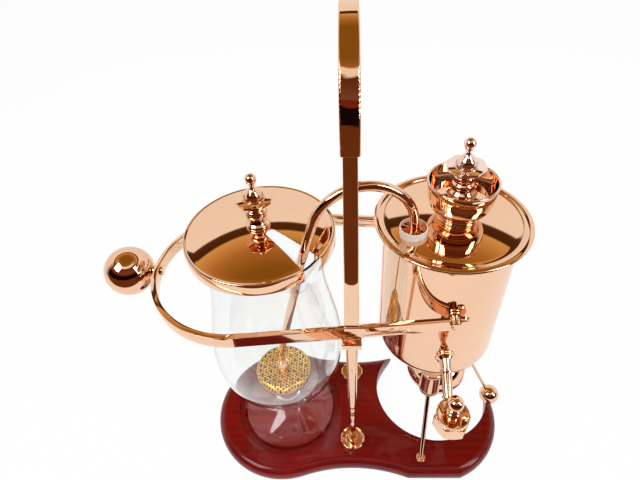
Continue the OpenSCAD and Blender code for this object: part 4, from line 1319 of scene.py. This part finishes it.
@dataclass(frozen=True)
class SoftBox:
    """One rectangular lamp: its name, its place, aim and size in metres, and its power in watts.

    A lamp that isn't mirrored lights the maker and leaves no reflection of its own.
    """

    name: str
    place: Place
    size: Point
    power: float
    mirrored: bool = True
    aim: Place = (0.0, 0.0, 0.15)

    def build(self) -> None:
        """Adds the lamp."""
        data = bpy.data.lights.new(self.name, "AREA")
        data.shape = "RECTANGLE"
        data.size, data.size_y = self.size
        data.energy = self.power
        lamp = bpy.data.objects.new(self.name, data)
        bpy.context.scene.collection.objects.link(lamp)
        lamp.visible_glossy = self.mirrored
        lamp.location = self.place
        lamp.rotation_euler = (Vector(self.aim) - Vector(self.place)).to_track_quat("-Z", "Y").to_euler()


@dataclass
class Studio:
    """The pale floor, the soft light and the camera, in metres except the lens and the sensor.

    Each wall is a list of the room's colours by the sine of their elevation.
    """

    camera_at: Place = (-0.0003, -0.2545, 0.4726)
    camera_x: Place = (0.99793, 0.04091, -0.04976)
    camera_y: Place = (0.00983, 0.66679, 0.74524)
    lens: float = 26.8
    sensor: float = 36.0
    floor_size: float = 3.0
    floor_front: float = -0.3
    floor_lift: float = 0.96
    floor_mirrored: float = 0.7
    world_level: float = 1.0
    rear_wall: tuple[tuple[float, str], ...] = (
        (0.0, "#F6F1EC"),
        (0.62, "#FFFBF4"),
        (0.63, "#553317"),
        (0.69, "#4A2A12"),
        (0.70, "#DDAE68"),
        (0.80, "#B57D3B"),
        (0.90, "#8A5F1C"),
    )
    front_wall: tuple[tuple[float, str], ...] = (
        (0.0, "#6A3A1C"),
        (0.04, "#160905"),
        (0.34, "#160905"),
        (0.37, "#7E2C1C"),
        (0.46, "#6A2A1A"),
        (0.50, "#7A5038"),
        (0.78, "#5E3418"),
        (0.81, "#FFF6EA"),
        (0.87, "#FFF6EA"),
        (0.90, "#A06E34"),
        (0.97, "#8A5F1C"),
    )
    boxes: tuple[SoftBox, ...] = (
        SoftBox("key_softbox", (-0.75, -0.55, 1.15), (0.6, 0.6), 7.0),
        SoftBox("fill_softbox", (0.95, -0.5, 0.8), (0.3, 0.9), 4.5),
        SoftBox("front_softbox", (0.1, -1.1, 0.7), (1.0, 0.6), 5.0, mirrored=False),
        SoftBox("rear_softbox", (0.1, 1.0, 0.6), (1.6, 0.4), 3.0, mirrored=False),
        SoftBox("top_softbox", (0.0, 0.05, 1.35), (0.5, 0.5), 2.5, mirrored=False),
    )

    def build(self) -> None:
        """Adds the camera, the world, the floor and the lamps."""
        self.build_camera()
        self.build_world()
        self.build_floor()
        for box in self.boxes:
            box.build()

    def build_camera(self) -> None:
        """Places the camera by its own axes."""
        data = bpy.data.cameras.new("camera")
        data.lens = self.lens
        data.sensor_width = self.sensor
        data.clip_start = 0.01
        camera = bpy.data.objects.new("camera", data)
        bpy.context.scene.collection.objects.link(camera)
        side, up = Vector(self.camera_x).normalized(), Vector(self.camera_y).normalized()
        turn = Matrix((side, up, side.cross(up))).transposed().to_4x4()
        camera.matrix_world = Matrix.Translation(Vector(self.camera_at)) @ turn
        bpy.context.scene.camera = camera
        bpy.context.scene.view_settings.view_transform = "Standard"

    def build_world(self) -> None:
        """Builds the room that lights the maker: pale behind, dark brown in front, white to the camera."""
        world = bpy.data.worlds.new("studio")
        bpy.context.scene.world = world
        world.use_nodes = True
        tree = world.node_tree
        tree.nodes.clear()
        around = add_node(tree, "TexCoord").outputs["Generated"]
        direction = add_node(tree, "SeparateXYZ", links={0: around})
        rear = self.wall(tree, direction, self.rear_wall)
        front = self.wall(tree, direction, self.front_wall)
        behind = {"Value": direction.outputs["Y"]}
        side = add_node(tree, "MapRange", {"From Min": -0.2, "From Max": 0.15}, behind)
        room = add_node(tree, "Mix", links={0: side, 6: front, 7: rear}, data_type="RGBA").outputs[2]
        light = add_node(tree, "Background", {"Strength": self.world_level}, {"Color": room})
        seen = add_node(tree, "Background", {"Color": WHITE, "Strength": 1.0})
        mix = add_node(tree, "MixShader", links={0: self.plain_view(tree, 0.0), 1: light, 2: seen})
        add_node(tree, "OutputWorld", links={"Surface": mix})

    def plain_view(self, tree: Tree, mirrored: float) -> Node:
        """Tells what is seen from what lights the maker.

        Args:
            tree: the node tree of the world or the floor.
            mirrored: how much of it metal shows.

        Returns:
            A node that gives 1 for what is seen directly or through glass, the share for reflections,
            and 0 for light.
        """
        path = add_node(tree, "LightPath").outputs
        seen = {0: path["Is Camera Ray"], 1: path["Is Transmission Ray"]}
        either = add_node(tree, "Math", links=seen, operation="MAXIMUM")
        links = {0: path["Is Glossy Ray"], 2: either}
        return add_node(tree, "Math", {1: mirrored}, links, operation="MULTIPLY_ADD", use_clamp=True)

    def wall(
        self, tree: Tree, direction: Node, stops: Sequence[tuple[float, str]]
    ) -> Node:
        """Colours one side of the room by height.

        Args:
            tree: the world's node tree.
            direction: the node that splits the view direction.
            stops: the sine of each elevation with its sRGB colour.

        Returns:
            The colour ramp.
        """
        ramp = add_node(tree, "ValToRGB", links={"Fac": direction.outputs["Z"]})
        elements = ramp.color_ramp.elements
        while len(elements) < len(stops):
            elements.new(0.5)
        for element, (position, code) in zip(elements, stops):
            element.position = position
            element.color = srgb(code)
        return ramp

    def build_floor(self) -> None:
        """Builds the white floor, which keeps the maker's shadow."""
        deselect_all()
        middle = self.floor_front + self.floor_size / 2
        bpy.ops.mesh.primitive_plane_add(size=self.floor_size, location=(0.0, middle, 0.0))
        floor = bpy.context.object
        floor.name = "studio_floor"
        settle(floor)
        material, tree = new_material("matt_white_paper")
        matt = add_node(tree, "BsdfDiffuse", {"Color": srgb("#F4F4F4")})
        glow = add_node(tree, "Emission", {"Color": WHITE, "Strength": 1.0})
        view = self.plain_view(tree, self.floor_mirrored)
        lift = add_node(tree, "Math", {1: self.floor_lift}, {0: view}, operation="MULTIPLY")
        mix = add_node(tree, "MixShader", links={0: lift, 1: matt, 2: glow})
        add_node(tree, "OutputMaterial", links={"Surface": mix})
        floor.data.materials.append(material)


def corners(box: Sequence[Vector]) -> list[list[float]]:
    """Turns the lowest and highest corner of a box to plain lists, in metres."""
    return [[round(float(value), 6) for value in corner] for corner in box]


def main() -> None:
    """Builds the maker in order, from the base up, and then the studio."""
    logging.basicConfig(level=logging.INFO, format="%(name)s %(message)s")
    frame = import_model()
    NODES.update(frame["nodes"])
    rack = FinishRack()
    rack.fill()
    for assembly in (
        WoodenBase(rack, "stand"),
        Posts(rack, "stand"),
        Beam(rack, "beam"),
        Glass(rack, "stand"),
        GlassLid(rack, "glass_lid"),
        Boiler(rack, "boiler"),
        TapKey(rack, "tap_key"),
        FillerPlug(rack, "filler_plug"),
        Siphon(rack, "siphon"),
        Burner(rack, "stand"),
        Snuffer(rack, "snuffer"),
    ):
        assembly.build()
        LOG.info("%s is built", type(assembly).__name__)
    Studio().build()


if __name__ == "__main__":
    main()
